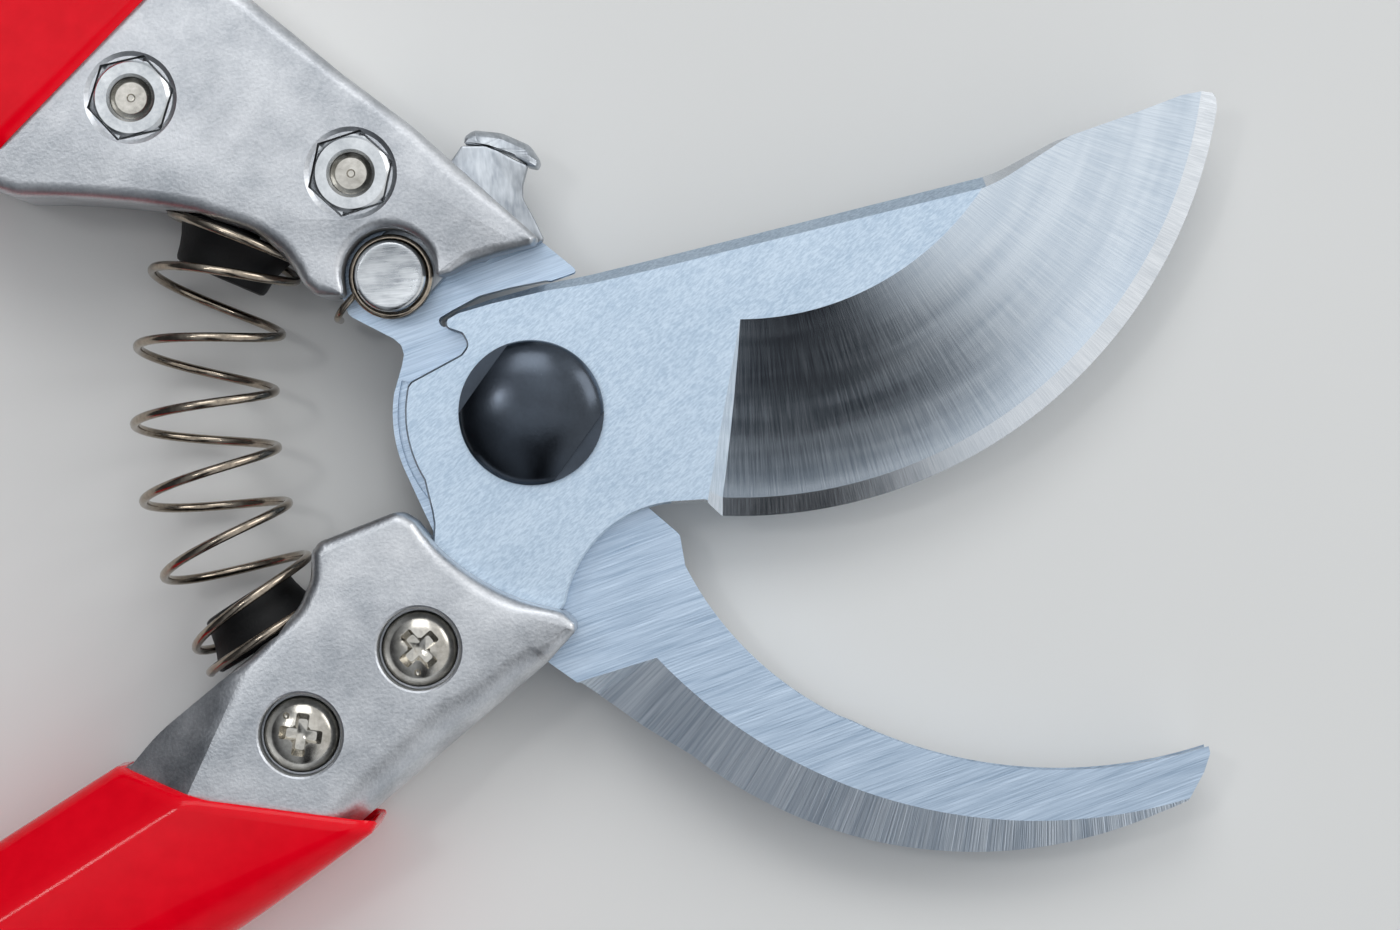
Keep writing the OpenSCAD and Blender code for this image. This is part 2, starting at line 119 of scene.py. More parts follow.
def inset(outline, distance):
    # moves every point inside by its own distance; where a tight corner runs out, its points gather
    ring = np.array(outline)
    distance = np.broadcast_to(np.asarray(distance, dtype=float), (len(ring),))
    moved = ring + inwards(outline) * distance[:, None]
    ends = np.roll(ring, -1, axis=0)
    side = ends - ring
    length = (side ** 2).sum(axis=1)
    good = np.ones(len(ring), dtype=bool)
    for i, point in enumerate(moved):
        share = np.clip(((point - ring) * side).sum(axis=1) / length, 0, 1)
        nearest = np.linalg.norm(ring + side * share[:, None] - point, axis=1).min()
        good[i] = nearest > 0.96 * distance[i] - 0.001
    kept = np.flatnonzero(good)
    for axis in (0, 1):
        places = np.concatenate([kept, kept + len(ring)])
        values = np.concatenate([moved[kept, axis]] * 2)
        first = kept[0]
        index = np.arange(first, first + len(ring))
        moved[index % len(ring), axis] = np.interp(index, places, values)
    return moved


def meshObject(name, points, faces):
    mesh = bpy.data.meshes.new(name)
    mesh.from_pydata([tuple(float(c) * mm for c in p) for p in points], [], faces)
    mesh.update()
    obj = bpy.data.objects.new(name, mesh)
    bpy.context.collection.objects.link(obj)
    return obj


def ringObject(name, rings):
    # a skin over rings of as many points each; the first and last ring are filled
    size = len(rings[0])
    points = [p for ring in rings for p in ring]
    last = len(points) - size
    faces = []
    for a in range(0, last, size):
        b = a + size
        faces += [(a + k, a + (k + 1) % size, b + (k + 1) % size, b + k) for k in range(size)]
    faces += [tuple(range(size))[::-1], tuple(range(last, len(points)))]
    return fixedNormals(meshObject(name, points, faces))


def plateObject(name, outline, low, high, topRound=0.15, lowRound=0.15, steps=3):
    # an extruded outline with rounded rims; a rim's radius may differ from point to point
    top = np.broadcast_to(np.asarray(topRound, dtype=float), (len(outline),))
    under = np.broadcast_to(np.asarray(lowRound, dtype=float), (len(outline),))
    angles = [pi / 2 * k / steps for k in range(steps + 1)]
    rings = [np.column_stack([inset(outline, under * (1 - sin(a))), low + under * (1 - cos(a))])
             for a in angles]
    rings += [np.column_stack([inset(outline, top * (1 - cos(a))), high - top * (1 - sin(a))])
              for a in angles]
    return ringObject(name, rings)


def turnedObject(name, profile, centre=(0, 0), start=0, end=360, steps=64):
    # a profile of (radius, height) turned about a vertical axis, whole or in part
    rings = []
    whole = end - start >= 360
    for i in range(steps if whole else steps + 1):
        angle = start + (end - start) * i / steps
        rings.append([(*polar(centre, r, angle), z) for r, z in profile])
    if not whole:
        return ringObject(name, rings)
    size = len(profile)
    points = [p for ring in rings for p in ring]
    faces = []
    for i in range(steps):
        a = i * size
        b = (i + 1) % steps * size
        faces += [(a + k, b + k, b + k + 1, a + k + 1) for k in range(size - 1)]
        if profile[0][0] > 1e-6 and profile[-1][0] > 1e-6:
            faces.append((a + size - 1, b + size - 1, b, a))
    return fixedNormals(meshObject(name, points, faces))


def cylinder(name, centre, radius, low, high, steps=64):
    return turnedObject(name, [(0, low), (radius, low), (radius, high), (0, high)], centre, steps=steps)


def bores(places):
    # a tall cylinder for every centre and diameter
    return [cylinder("bore", centre, wide / 2, 0, 20, 48) for centre, wide in places]


def prism(name, outline, low, high):
    return ringObject(name, [[(*p, z) for p in outline] for z in (low, high)])


def fixedNormals(obj):
    work = bmesh.new()
    work.from_mesh(obj.data)
    bmesh.ops.remove_doubles(work, verts=work.verts, dist=1e-6)
    bmesh.ops.dissolve_degenerate(work, edges=work.edges, dist=1e-7)
    bmesh.ops.recalc_face_normals(work, faces=work.faces)
    work.to_mesh(obj.data)
    work.free()
    return obj


def evaluatedMesh(obj):
    # what the object's modifiers make of it
    graph = bpy.context.evaluated_depsgraph_get()
    graph.update()
    return bpy.data.meshes.new_from_object(obj.evaluated_get(graph))


def carved(obj, tools, operation="DIFFERENCE"):
    for tool in tools:
        modifier = obj.modifiers.new("carve", "BOOLEAN")
        modifier.operation = operation
        modifier.solver = "MANIFOLD"
        modifier.object = tool
        old = obj.data
        mesh = evaluatedMesh(obj)
        obj.modifiers.clear()
        obj.data = mesh
        bpy.data.meshes.remove(old)
        bpy.data.meshes.remove(tool.data)  # the tool goes with its mesh


def moved(obj, matrix):
    obj.data.transform(matrix)
    return obj


def at(x, y, z, turn=0):
    # a place in millimetres, turned about the vertical
    return Matrix.Translation((x * mm, y * mm, z * mm)) @ Matrix.Rotation(radians(turn), 4, "Z")


def smoothed(obj, degrees=30):
    obj.data.shade_smooth()
    obj.data.set_sharp_from_angle(angle=radians(degrees))
    return obj


def paintFaces(obj, materials, choose):
    # gives each face the material that choose(centre in mm, normal) names
    obj.data.materials.clear()
    names = list(materials)
    for name in names:
        obj.data.materials.append(materials[name])
    for face in obj.data.polygons:
        face.material_index = names.index(choose(Vector(face.center) / mm, face.normal))
    return obj


def finished(obj, body, nodes=(), material=None):
    if material:
        obj.data.materials.clear()
        obj.data.materials.append(material)
    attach(obj, body)
    if nodes:
        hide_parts(*nodes)
    print("made", obj.name, len(obj.data.polygons), "faces")
    return obj


def toLinear(hexColour):
    channels = [int(hexColour[i:i + 2], 16) / 255 for i in (1, 3, 5)]
    return (*(c / 12.92 if c <= 0.04045 else ((c + 0.055) / 1.055) ** 2.4 for c in channels), 1)


def addNode(tree, kind, values=None):
    # each value sets the node or one of its sockets, or is the node or socket that is linked to it
    node = tree.nodes.new(kind)
    for key, value in (values or {}).items():
        if isinstance(value, (bpy.types.Node, bpy.types.NodeSocket)):
            tree.links.new(getattr(value, "outputs", [value])[0], node.inputs[key])
        elif isinstance(key, str) and hasattr(node, key):
            setattr(node, key, value)
        else:
            node.inputs[key].default_value = value
    return node


def newMaterial(name, colour, metallic, roughness, sockets=None):
    material = bpy.data.materials.new(name)
    material.use_nodes = True
    shader = material.node_tree.nodes["Principled BSDF"]
    shader.inputs["Base Color"].default_value = toLinear(colour)
    shader.inputs["Metallic"].default_value = metallic
    shader.inputs["Roughness"].default_value = roughness
    for key, value in (sockets or {}).items():
        shader.inputs[key].default_value = value
    return material, material.node_tree, shader


def speckle(tree, size, detail=3):
    # an even blotchy pattern, its blotches about size millimetres across
    place = addNode(tree, "ShaderNodeTexCoord")
    noise = addNode(tree, "ShaderNodeTexNoise", {
        "Scale": 1 / (size * mm), "Detail": detail, "Vector": place.outputs["Object"]})
    levels = addNode(tree, "ShaderNodeMapRange", {"From Min": 0.3, "From Max": 0.7, "Value": noise})
    return levels.outputs[0]


def scratches(tree, lines, length, width, contrast=(0.35, 0.65)):
    # thin streaks: straight ones at an angle, or ones that run round or away from a centre
    place = addNode(tree, "ShaderNodeTexCoord")
    if "angle" in lines:
        size = (length * mm, width * mm, width * mm)
        streaks = addNode(tree, "ShaderNodeMapping", {
            "vector_type": "TEXTURE", "Scale": size, "Rotation": (0, 0, radians(lines["angle"])),
            "Vector": place.outputs["Object"]})
    else:
        x, y = lines["centre"]
        local = addNode(tree, "ShaderNodeVectorMath", {
            "operation": "SUBTRACT", 1: (x * mm, y * mm, 0), 0: place.outputs["Object"]})
        axes = addNode(tree, "ShaderNodeSeparateXYZ", {0: local})
        flat = addNode(tree, "ShaderNodeCombineXYZ", {0: axes, 1: axes.outputs[1]})
        radius = addNode(tree, "ShaderNodeVectorMath", {"operation": "LENGTH", 0: flat})
        around = addNode(tree, "ShaderNodeMath", {"operation": "ARCTAN2", 0: axes.outputs[1], 1: axes})
        across, outwards = (width, length) if lines["run"] == "away" else (length, width)
        turn = addNode(tree, "ShaderNodeMath", {
            "operation": "DIVIDE", 1: across / lines["radius"], 0: around})
        out = addNode(tree, "ShaderNodeMath", {
            "operation": "DIVIDE", 1: outwards * mm, 0: radius.outputs["Value"]})
        streaks = addNode(tree, "ShaderNodeCombineXYZ", {0: turn, 1: out})
    noise = addNode(tree, "ShaderNodeTexNoise", {
        "Scale": 1, "Detail": 2.5, "Roughness": 0.6, "Vector": streaks})
    levels = addNode(tree, "ShaderNodeMapRange", {
        "From Min": contrast[0], "From Max": contrast[1], "Value": noise})
    return levels.outputs[0]


def shaded(tree, shader, fine, broad, look):
    # colour from the broad pattern, gloss and relief from the fine one
    both = addNode(tree, "ShaderNodeMix", {
        "data_type": "FLOAT", 0: look.get("broadShare", 0.4), 2: fine, 3: broad})
    tint = addNode(tree, "ShaderNodeMix", {
        "data_type": "RGBA", 6: toLinear(look["dark"]), 7: toLinear(look["light"]), 0: both})
    gloss = addNode(tree, "ShaderNodeMapRange", {
        "To Min": look["rough"][0], "To Max": look["rough"][1], "Value": both})
    relief = addNode(tree, "ShaderNodeBump", {
        "Strength": look.get("reliefShare", 0.5), "Distance": look["relief"] * mm, "Height": fine})
    tree.links.new(tint.outputs[2], shader.inputs["Base Color"])
    tree.links.new(gloss.outputs[0], shader.inputs["Roughness"])
    tree.links.new(relief.outputs[0], shader.inputs["Normal"])


def brushedMetal(name, look):
    material, tree, shader = newMaterial(name, look["light"], 1, look["rough"][0])
    fine = scratches(tree, look["lines"], look["length"], look["width"], look.get("levels", (0.35, 0.65)))
    bandLength, bandWidth = look.get("bands", (look["length"] * 2.5, look["width"] * 9))
    broad = scratches(tree, look.get("bandLines", look["lines"]), bandLength, bandWidth)
    shaded(tree, shader, fine, broad, look)
    return material


def mottledSurface(name, look, metallic, sockets=None):
    material, tree, shader = newMaterial(name, look["light"], metallic, look["rough"][0], sockets)
    shaded(tree, shader, speckle(tree, look["grain"]), speckle(tree, look["cloud"], 4), look)
    return material


edgeCentre = (20, 37)
hookCentre = (49, 11.4)

# tool steel, surface ground on a belt: a calm blue satin, speckled with short slanting dashes
bladeFlat = brushedMetal("beltGroundBladeSteel", {
    "dark": "#AABDCF", "light": "#D1E0EE", "lines": {"angle": 40}, "length": 0.6, "width": 0.17,
    "bands": (9, 3), "broadShare": 0.2, "rough": (0.3, 0.4), "relief": 0.003})
# the same steel, hollow ground and polished: glossy, with fine lines across and soft bands along the arc
bladeHollow = brushedMetal("hollowGroundBladeSteel", {
    "dark": "#C9D6E3", "light": "#EAF3FB", "lines": {"centre": edgeCentre, "run": "away", "radius": 38},
    "length": 5, "width": 0.16, "bandLines": {"centre": edgeCentre, "run": "around", "radius": 38},
    "bands": (26, 2.6), "broadShare": 0.45, "rough": (0.13, 0.19), "relief": 0.0014, "reliefShare": 0.3})
# the honed bevel: bright and smooth, with faint lines straight across the edge
bladeHoned = brushedMetal("honedEdgeSteel", {
    "dark": "#D3D9DF", "light": "#F1F5F9", "lines": {"centre": edgeCentre, "run": "away", "radius": 46},
    "length": 3, "width": 0.14, "bands": (9, 4), "rough": (0.18, 0.26), "relief": 0.0015, "reliefShare": 0.3})
# carbon steel, coarsely ground flat: long lines that catch the light one by one
hookFlat = brushedMetal("coarseGroundHookSteel", {
    "dark": "#94A8BD", "light": "#D3E3F4", "lines": {"angle": 20}, "length": 6, "width": 0.17,
    "levels": (0.3, 0.7), "bands": (18, 1.1), "broadShare": 0.3, "rough": (0.27, 0.4), "relief": 0.01})
# its bevel is ground straight across, so the lines stand square to the rim
hookBevelSteel = brushedMetal("crossGroundHookSteel", {
    "dark": "#B9C7D6", "light": "#EBF3FB", "lines": {"centre": hookCentre, "run": "away", "radius": 53},
    "length": 12, "width": 0.2, "bands": (40, 1.6), "broadShare": 0.4, "rough": (0.36, 0.48),
    "relief": 0.06})
# the thumb lever: stamped sheet steel, tumbled to a soft grey with a trace of upright grain
leverSteel = brushedMetal("tumbledLeverSteel", {
    "dark": "#8C9299", "light": "#C0C5CA", "lines": {"angle": 96}, "length": 1.6, "width": 0.4,
    "bands": (3, 1.8), "broadShare": 0.6, "rough": (0.32, 0.46), "relief": 0.006})
# the lock pin's button: turned steel, then brushed across
pinSteel = brushedMetal("crossBrushedPinSteel", {
    "dark": "#93979B", "light": "#D2D5D7", "lines": {"angle": 5}, "length": 2.2, "width": 0.16,
    "bands": (2.6, 1.6), "broadShare": 0.55, "rough": (0.22, 0.36), "relief": 0.006})
# die cast aluminium, tumbled and bead blasted: matt silver grey with soft clouds
castMetal = mottledSurface("beadBlastedCastAluminium", {
    "dark": "#A3A7AC", "light": "#DADCDF", "grain": 0.3, "cloud": 4.5, "rough": (0.34, 0.46),
    "relief": 0.02, "broadShare": 0.7}, 1)
# dipped soft vinyl: deep red, wet looking, with a faint orange peel
vinyl = mottledSurface("dippedRedVinyl", {
    "dark": "#E30019", "light": "#F2051F", "grain": 1.8, "cloud": 9, "rough": (0.1, 0.16),
    "relief": 0.02, "reliefShare": 0.2, "broadShare": 0.5}, 0,
    {"IOR": 1.52, "Specular IOR Level": 0.16})
# nickel plated screws: warm bright metal with small stains
nickel = mottledSurface("nickelPlatedSteel", {
    "dark": "#A09C93", "light": "#D0CCC4", "grain": 0.5, "cloud": 1.8, "rough": (0.14, 0.26),
    "relief": 0.005, "broadShare": 0.6}, 1)
# zinc plated nuts: clean bright steel, slightly cold
zinc = mottledSurface("brightZincPlatedSteel", {
    "dark": "#B2B5B7", "light": "#DADCDD", "grain": 0.4, "cloud": 2.2, "rough": (0.14, 0.22),
    "relief": 0.003, "reliefShare": 0.3, "broadShare": 0.7}, 1)
# black oxide on the pivot bolt: oily satin black
blackOxide = mottledSurface("blackOxideSteel", {
    "dark": "#3C4148", "light": "#4A515A", "grain": 0.25, "cloud": 3, "rough": (0.2, 0.28),
    "relief": 0.005, "reliefShare": 0.3, "broadShare": 0.7}, 1)
# cold drawn spring wire: bronze tinted nickel, glossy along the wire
springMetal = mottledSurface("nickelPlatedSpringWire", {
    "dark": "#857A6E", "light": "#B5A999", "grain": 0.4, "cloud": 3, "rough": (0.14, 0.24),
    "relief": 0.004}, 1)
# moulded rubber: dull black with a trace of dust
rubber = mottledSurface("mouldedBlackRubber", {
    "dark": "#0B0B0C", "light": "#151516", "grain": 0.3, "cloud": 2.5, "rough": (0.5, 0.62),
    "relief": 0.02}, 0, {"IOR": 1.52, "Specular IOR Level": 0.25})
# stamped washers and clip: plain steel, dull from tumbling
washerSteel = mottledSurface("tumbledWasherSteel", {
    "dark": "#83878B", "light": "#AEB1B3", "grain": 0.4, "cloud": 2, "rough": (0.3, 0.42),
    "relief": 0.01}, 1)


blade = {
    "low": 7.9, "high": 11.5,
    "edgeRadius": 47, "edgeThickness": 0.14,
    "grindStart": 28, "grindEnd": 45.2, "grindDepth": 2.8, "grindSag": 0.3,
    "rippleRadius": 34.7, "rippleWidth": 2.4, "rippleHeight": 0.011,
    "spineChamfer": 0.95, "rim": 0.18,
    "shoulder": [(16.8, -9.5), (20.1, 8.9)], "shoulderLean": 0.5,
    "pivotBore": 8.1, "screwBore": 4.4, "screws": [(-10.6, -22.6), (-21.9, -30.8)], "nutTurn": 15}


def bladeOutline():
    hub = 12.2
    return withoutDoubles(rounded(
        arc(edgeCentre, blade["edgeRadius"], -92, -9, 84)
        + [(66.3, 30.6), (66, 31.05, 0.4), (64.9, 31.2, 0.6), (62.9, 30.8, 4), (58.5, 29.1, 6)]
        + [(50.4, 26.2, 9), (44.5, 23, 12), (11.4, 14.7, 10), (5.7, 13.3, 10), (1.3, 12.4, 10)]
        + [(-4, 10.9, 9), (-7.2, 9.8, 2), (-8.4, 9, 0.6), (-8.2, 8.1, 0.5), (-6.7, 7.6, 0.5)]
        + [(-6.1, 6.5, 0.8), (-6.8, 5.6, 0.4), (-11.6, 3, 0.6)]
        + arc((0, 0), hub, 168, 212, 16)
        + [(-9.6, -9.5), (-9.4, -10.7), (-9.5, -12.4), (-13, -18.5), (-17.5, -25.5), (-21, -27.5)]
        + [(-27, -30.5), (-27.5, -34), (-24, -36), (-15, -36), (-3, -26.5), (1.5, -21.5)]
        + arc((14.7, -20.2), 11.55, 170, 96, 24)
        + [(16.8, -8.5, 0.5)]))


def grindHeight(radius):
    share = (radius - blade["grindStart"]) / (blade["grindEnd"] - blade["grindStart"])
    # two passes of the wheel meet in a shallow ripple
    off = (radius - blade["rippleRadius"]) / blade["rippleWidth"]
    ripple = blade["rippleHeight"] * sin(pi * off) * exp(-off * off / 2)
    return blade["high"] - blade["grindDepth"] * share - 4 * blade["grindSag"] * share * (1 - share) - ripple


def cuttingBlade():
    outline = bladeOutline()
    rim = []
    for x, y in outline:
        fromEdge = dist((x, y), edgeCentre)
        if x > 16 and fromEdge > blade["edgeRadius"] - 0.6:
            rim.append(0)
        elif x > -9 and y > max(8.5, 0.25 * x + 10.5 - 0.12 * max(0, -x)):
            ends = [(-8.5, 0.2), (-6, 0.35), (8, 1), (40, 1), (50, 1.4), (57, 0.9), (61, 0.25), (80, 0.15)]
            rim.append(blade["spineChamfer"] * np.interp(x, *zip(*ends)))
        else:
            rim.append(blade["rim"])
    obj = plateObject("cuttingBlade", outline, blade["low"], blade["high"], rim, 0.12, steps=1)
    # everything above the ground faces, out to the edge
    start, end, out = blade["grindStart"], blade["grindEnd"], blade["edgeRadius"]
    edgeBottom = blade["low"] + blade["edgeThickness"]
    drop = (grindHeight(end) - edgeBottom) / (out - end)
    profile = [(start - 0.6, grindHeight(start) + (grindHeight(start) - grindHeight(start + 0.6)))]
    profile += [(r, grindHeight(r)) for r in np.linspace(start, end, 33)]
    profile += [(out, edgeBottom), (out + 0.8, edgeBottom - 0.8 * drop), (out + 0.8, 14), (start - 0.6, 14)]
    above = turnedObject("above", profile[::-1], edgeCentre, -100, 20, 132)
    # the shoulder where the grind stops, leaning outwards as it goes down
    (x0, y0), (x1, y1) = blade["shoulder"]
    slope = (x1 - x0) / (y1 - y0)
    rings = []
    for z in (6, 15):
        lean = (blade["high"] - z) * blade["shoulderLean"]
        rings.append([(x0 + slope * (y - y0) + lean, y, z) for y in (60, -40)] + [(90, -40, z), (90, 60, z)])
    carved(above, [ringObject("wedge", rings)], "INTERSECT")
    holes = [((0, 0), blade["pivotBore"])] + [(c, blade["screwBore"]) for c in blade["screws"]]
    carved(obj, [above] + bores(holes))
    fixedNormals(obj)

    def region(centre, normal):
        radius = dist(centre[:2], edgeCentre)
        if centre.x < 15 or normal.z < 0.25 or centre.z > blade["high"] - 0.004 or radius < start - 0.05:
            return "flat"
        return "hollow" if radius < end and normal.z > 0.93 else "honed"

    paintFaces(obj, {"flat": bladeFlat, "hollow": bladeHollow, "honed": bladeHoned}, region)
    smoothed(obj, 12)
    finished(obj, "blade_side", ["cutting_blade"])


hook = {
    "low": 3.8, "high": 7.8, "rim": 0.2,
    "bevelRadius": 51, "bevelWidth": 8, "bevelDepth": 2.6,
    "start": [(4.5, -26.1), (12.2, -23.7)], "startLean": 0.9,
    "groove": (11.8, 13.1), "grooveDepth": 0.6, "grooveFrom": 166,
    "slot": [(1.3, 12.9), (-2.2, 12.2), (-5.2, 11.4), (-7.8, 10), (-9.3, 9.1), (-8.8, 8.3), (-6.5, 8.8),
             (-2, 10.5), (3, 11.2), (4, 12.6)],
    "lock": (-13.5, 13.1), "pinBore": 4.1, "screws": [(-17.1, 22.8), (-38.1, 30)], "nutTurns": (18, 13)}


def hookOutline():
    return withoutDoubles(rounded(
        [(1.3, 12.9)] + arc((0, 0), 12, 80, -40, 40) + [(14.1, -11.9, 0.6)]
        + arc((44.2, 0.2), 33.2, -153, -116, 24)
        + arc((51.25, 11.25), 46.1, -116, -72, 36)
        + [(65.6, -33, 0.4), (65, -34.8, 1.2)]
        + arc((42.75, 1.6), 44.3, -62, -128, 48)
        + [(10.8, -30.5, 3), (1.6, -24, 4), (-3, -20, 4), (-8, -14.5, 4), (-10.6, -9, 3)]
        + arc((0, 0), 13.4, 205, 172, 14)
        + [(-12.5, 4.6, 0.5), (-12.3, 5.7, 0.8), (-12.6, 6.7, 0.8), (-13.4, 7.4, 0.5), (-17.7, 9.6, 1)]
        + [(-18.5, 12, 2), (-20.5, 17), (-24, 22.5), (-33, 25), (-43, 27), (-44, 32), (-38, 35.5)]
        + [(-19.5, 30.5), (-12, 26.4), (-3.5, 19.4), (1.1, 16.2, 0.4), (4.0, 13.85, 0.1)]))


def hookBlade():
    outline = hookOutline()
    obj = plateObject("hookBlade", outline, hook["low"], hook["high"], hook["rim"], 0.15, steps=1)
    radius, wide, deep, high = hook["bevelRadius"], hook["bevelWidth"], hook["bevelDepth"], hook["high"]
    extra = 0.5
    slope = deep / wide
    far = radius + wide + 4
    profile = [(radius - extra, high + extra * slope), (radius, high), (radius + wide / 2, high - deep / 2),
               (far, high - deep - 4 * slope), (far, 12), (radius - extra, 12)]
    above = turnedObject("above", profile[::-1], hookCentre, -160, -40, 150)
    (x0, y0), (x1, y1) = hook["start"]
    tilt = (y1 - y0) / (x1 - x0)
    rings = []
    for z in (1, 13):
        lean = (high - z) * hook["startLean"]
        rings.append([(-30, y0 + tilt * (-30 - x0) - lean, z), (-30, -90, z), (120, -90, z),
                      (120, y0 + tilt * (120 - x0) - lean, z)])
    # beyond its start the cut is free to follow the rim up to the tip
    wedge = ringObject("wedge", rings)
    carved(wedge, [prism("beyond", [(14, -90), (120, -90), (120, 40), (14, 40)], 0.5, 13.5)], "UNION")
    carved(above, [wedge], "INTERSECT")
    inner, outer = hook["groove"]
    floor = high - hook["grooveDepth"]
    groove = turnedObject("groove", [(inner, 12), (inner, floor), (outer, floor), (outer + 0.1, 12)],
                          start=hook["grooveFrom"], end=258, steps=60)
    holes = [((0, 0), blade["pivotBore"]), (hook["lock"], hook["pinBore"])]
    holes += [(c, blade["screwBore"]) for c in hook["screws"]]
    slot = prism("slot", rounded([(*c, 0.5) for c in hook["slot"]], 4), 0, 12)
    carved(obj, [above, groove, slot] + bores(holes))
    fixedNormals(obj)

    def region(centre, normal):
        away = dist(centre[:2], hookCentre)
        ground = away > radius - 0.1 and 0.3 < normal.z < 0.995 and centre.x > 2 and centre.y < -20
        return "bevel" if ground else "flat"

    paintFaces(obj, {"flat": hookFlat, "bevel": hookBevelSteel}, region)
    smoothed(obj, 12)
    finished(obj, "hook_side", ["hook_blade"])


casting = {
    "low": 1.0, "high": 16.0, "lowRim": 0.6,
    "nutPocket": 7.4, "pocketFlare": 4.45, "flareDepth": 0.3, "nutSink": 0.1,
    "headBore": 7.8, "headBoreTop": 2.8, "counterbore": 7.8, "counterboreFloor": 13.3, "screwBore": 4.4,
    "slope": 30, "leverRoomTop": 10.6}
seat = {"middle": 184.65, "base": (26.807, 19.884), "height": 8.5, "half": 27.95,
        "wide": 6.0, "tip": 4.7, "long": 5, "plug": 2, "plugLong": 3, "faceRadius": 7.4}


def atSeat(side):
    # side 1 is the blade's handle, -1 the hook's
    spin = Matrix.Rotation(radians(seat["middle"]), 4, "Z")
    out = Matrix.Translation((seat["base"][0] * mm, side * seat["base"][1] * mm, seat["height"] * mm))
    face = Matrix.Rotation(radians(side * (90 + seat["half"]) + 180), 4, "Z")
    return spin @ out @ face @ Matrix.Rotation(radians(90), 4, "Y")


def hexRing(flats, z, turn=0, centre=(0, 0)):
    return [(*polar(centre, flats / 2 / cos(pi / 6), turn + 60 * k), z) for k in range(6)]


def grown(outline, gap):
    ring = np.array(outline)
    return [tuple(p) for p in ring - inwards(outline) * gap]


def rimAt(point, keys):
    # the rim's radius between keyed places, the near ones counting most
    weights = [1 / (dist(point, key[:2]) ** 3 + 0.01) for key in keys]
    return sum(w * key[2] for w, key in zip(weights, keys)) / sum(weights)


def nutPocket(centre, turn, top, up=1):
    # a hexagon hole with a shallow round flare at its mouth; up is -1 for one that opens below
    floor = top - up * (nut["height"] + casting["nutSink"])
    flats, flare, deep = casting["nutPocket"], casting["pocketFlare"], casting["flareDepth"]
    pocket = ringObject("pocket", [hexRing(flats, z, turn, centre) for z in (floor, top + up)])
    mouth = [(0, top - up * deep), (flare - 0.45, top - up * deep), (flare, top),
             (flare + 0.15, top + up * 0.15), (flare + 0.15, top + up), (0, top + up)]
    return [pocket, turnedObject("mouth", mouth, centre, steps=72)]


def seatCut(side):
    face = cylinder("face", (0, 0), seat["faceRadius"], 0, 12, 72)
    hole = cylinder("hole", (0, 0), seat["plug"] + 0.05, -seat["plugLong"] - 0.2, 1, 32)
    return [moved(face, atSeat(side)), moved(hole, atSeat(side))]


def hookCasting():
    lockAt = hook["lock"]
    outline = rounded([
        (0.75, 16.7, 0.9), (-3, 20, 12), (-11.2, 27.3, 20), (-17.9, 32.3, 20), (-26.8, 39.6, 20)]
        + [(-32.4, 43.7, 3), (-34.9, 44.8, 1.5), (-54.9, 24.2, 1.5), (-52.4, 22.7, 1.2), (-51.4, 21.3, 2),
           (-49.1, 20.5, 3)]
        + arc((-47.5, -60.8), 81.3, 88, 79, 8)
        + [(-26.5, 17.3, 6), (-24, 15.4, 5), (-22.5, 13.6, 3), (-21.6, 12.2, 1.5), (-20.4, 11.1, 1.3),
           (-17.75, 11.1, 0.8)]
        + arc(lockAt, 4.5, 195, 2, 22)
        + [(-8.7, 13.0, 0.7), (-7.6, 13.3, 1), (-5.6, 14.3, 4), (-3.2, 15.1, 4), (0.3, 16.0, 0.8)], 8)
    outline = withoutDoubles(subdivided(outline, 2.5), 0.05)
    keys = [(0.6, 16.6, 0.9), (-8, 24, 1.5), (-26, 39, 1.5), (-34, 44, 0.8), (-54, 24, 0.8), (-49, 20.5, 1.6),
            (-34, 19.5, 1.6), (-24, 15.4, 1.6), (-20, 11.3, 1.2), (-18, 11, 0.5), (-16.5, 16.4, 0.9),
            (-13.5, 17.7, 1.0), (-10, 16, 0.9), (-8.6, 13, 0.45), (-5, 14.4, 1.2), (0.3, 16, 0.8)]
    rims = [rimAt(p, keys) for p in outline]
    obj = plateObject("hookCasting", outline, casting["low"], casting["high"], rims, casting["lowRim"], 6)
    low, slotTop, roomTop = casting["low"] - 1, hook["high"], casting["leverRoomTop"]
    tools = [
        prism("nose", [(-15, -10), (10, -10), (10, 60), (-15, 60)], low, slotTop),
        prism("room", [(-14.5, 6), (8, 6), (8, 34), (-8, 34), (-13, 18.5)], slotTop - 1, roomTop),
        cylinder("eye", lockAt, 5.5, slotTop - 1, roomTop),
        prism("slot", grown(hookOutline(), 0.1), hook["low"] - 0.1, slotTop)]
    for centre, turn in zip(hook["screws"], hook["nutTurns"]):
        tools += [cylinder("shank", centre, casting["screwBore"] / 2, low, 17),
                  cylinder("head", centre, casting["headBore"] / 2, low, casting["headBoreTop"])]
        tools += nutPocket(centre, turn, casting["high"])
    carved(obj, tools + seatCut(-1))
    smoothed(fixedNormals(obj), 28)
    finished(obj, "hook_side", ["hook_handle"], castMetal)


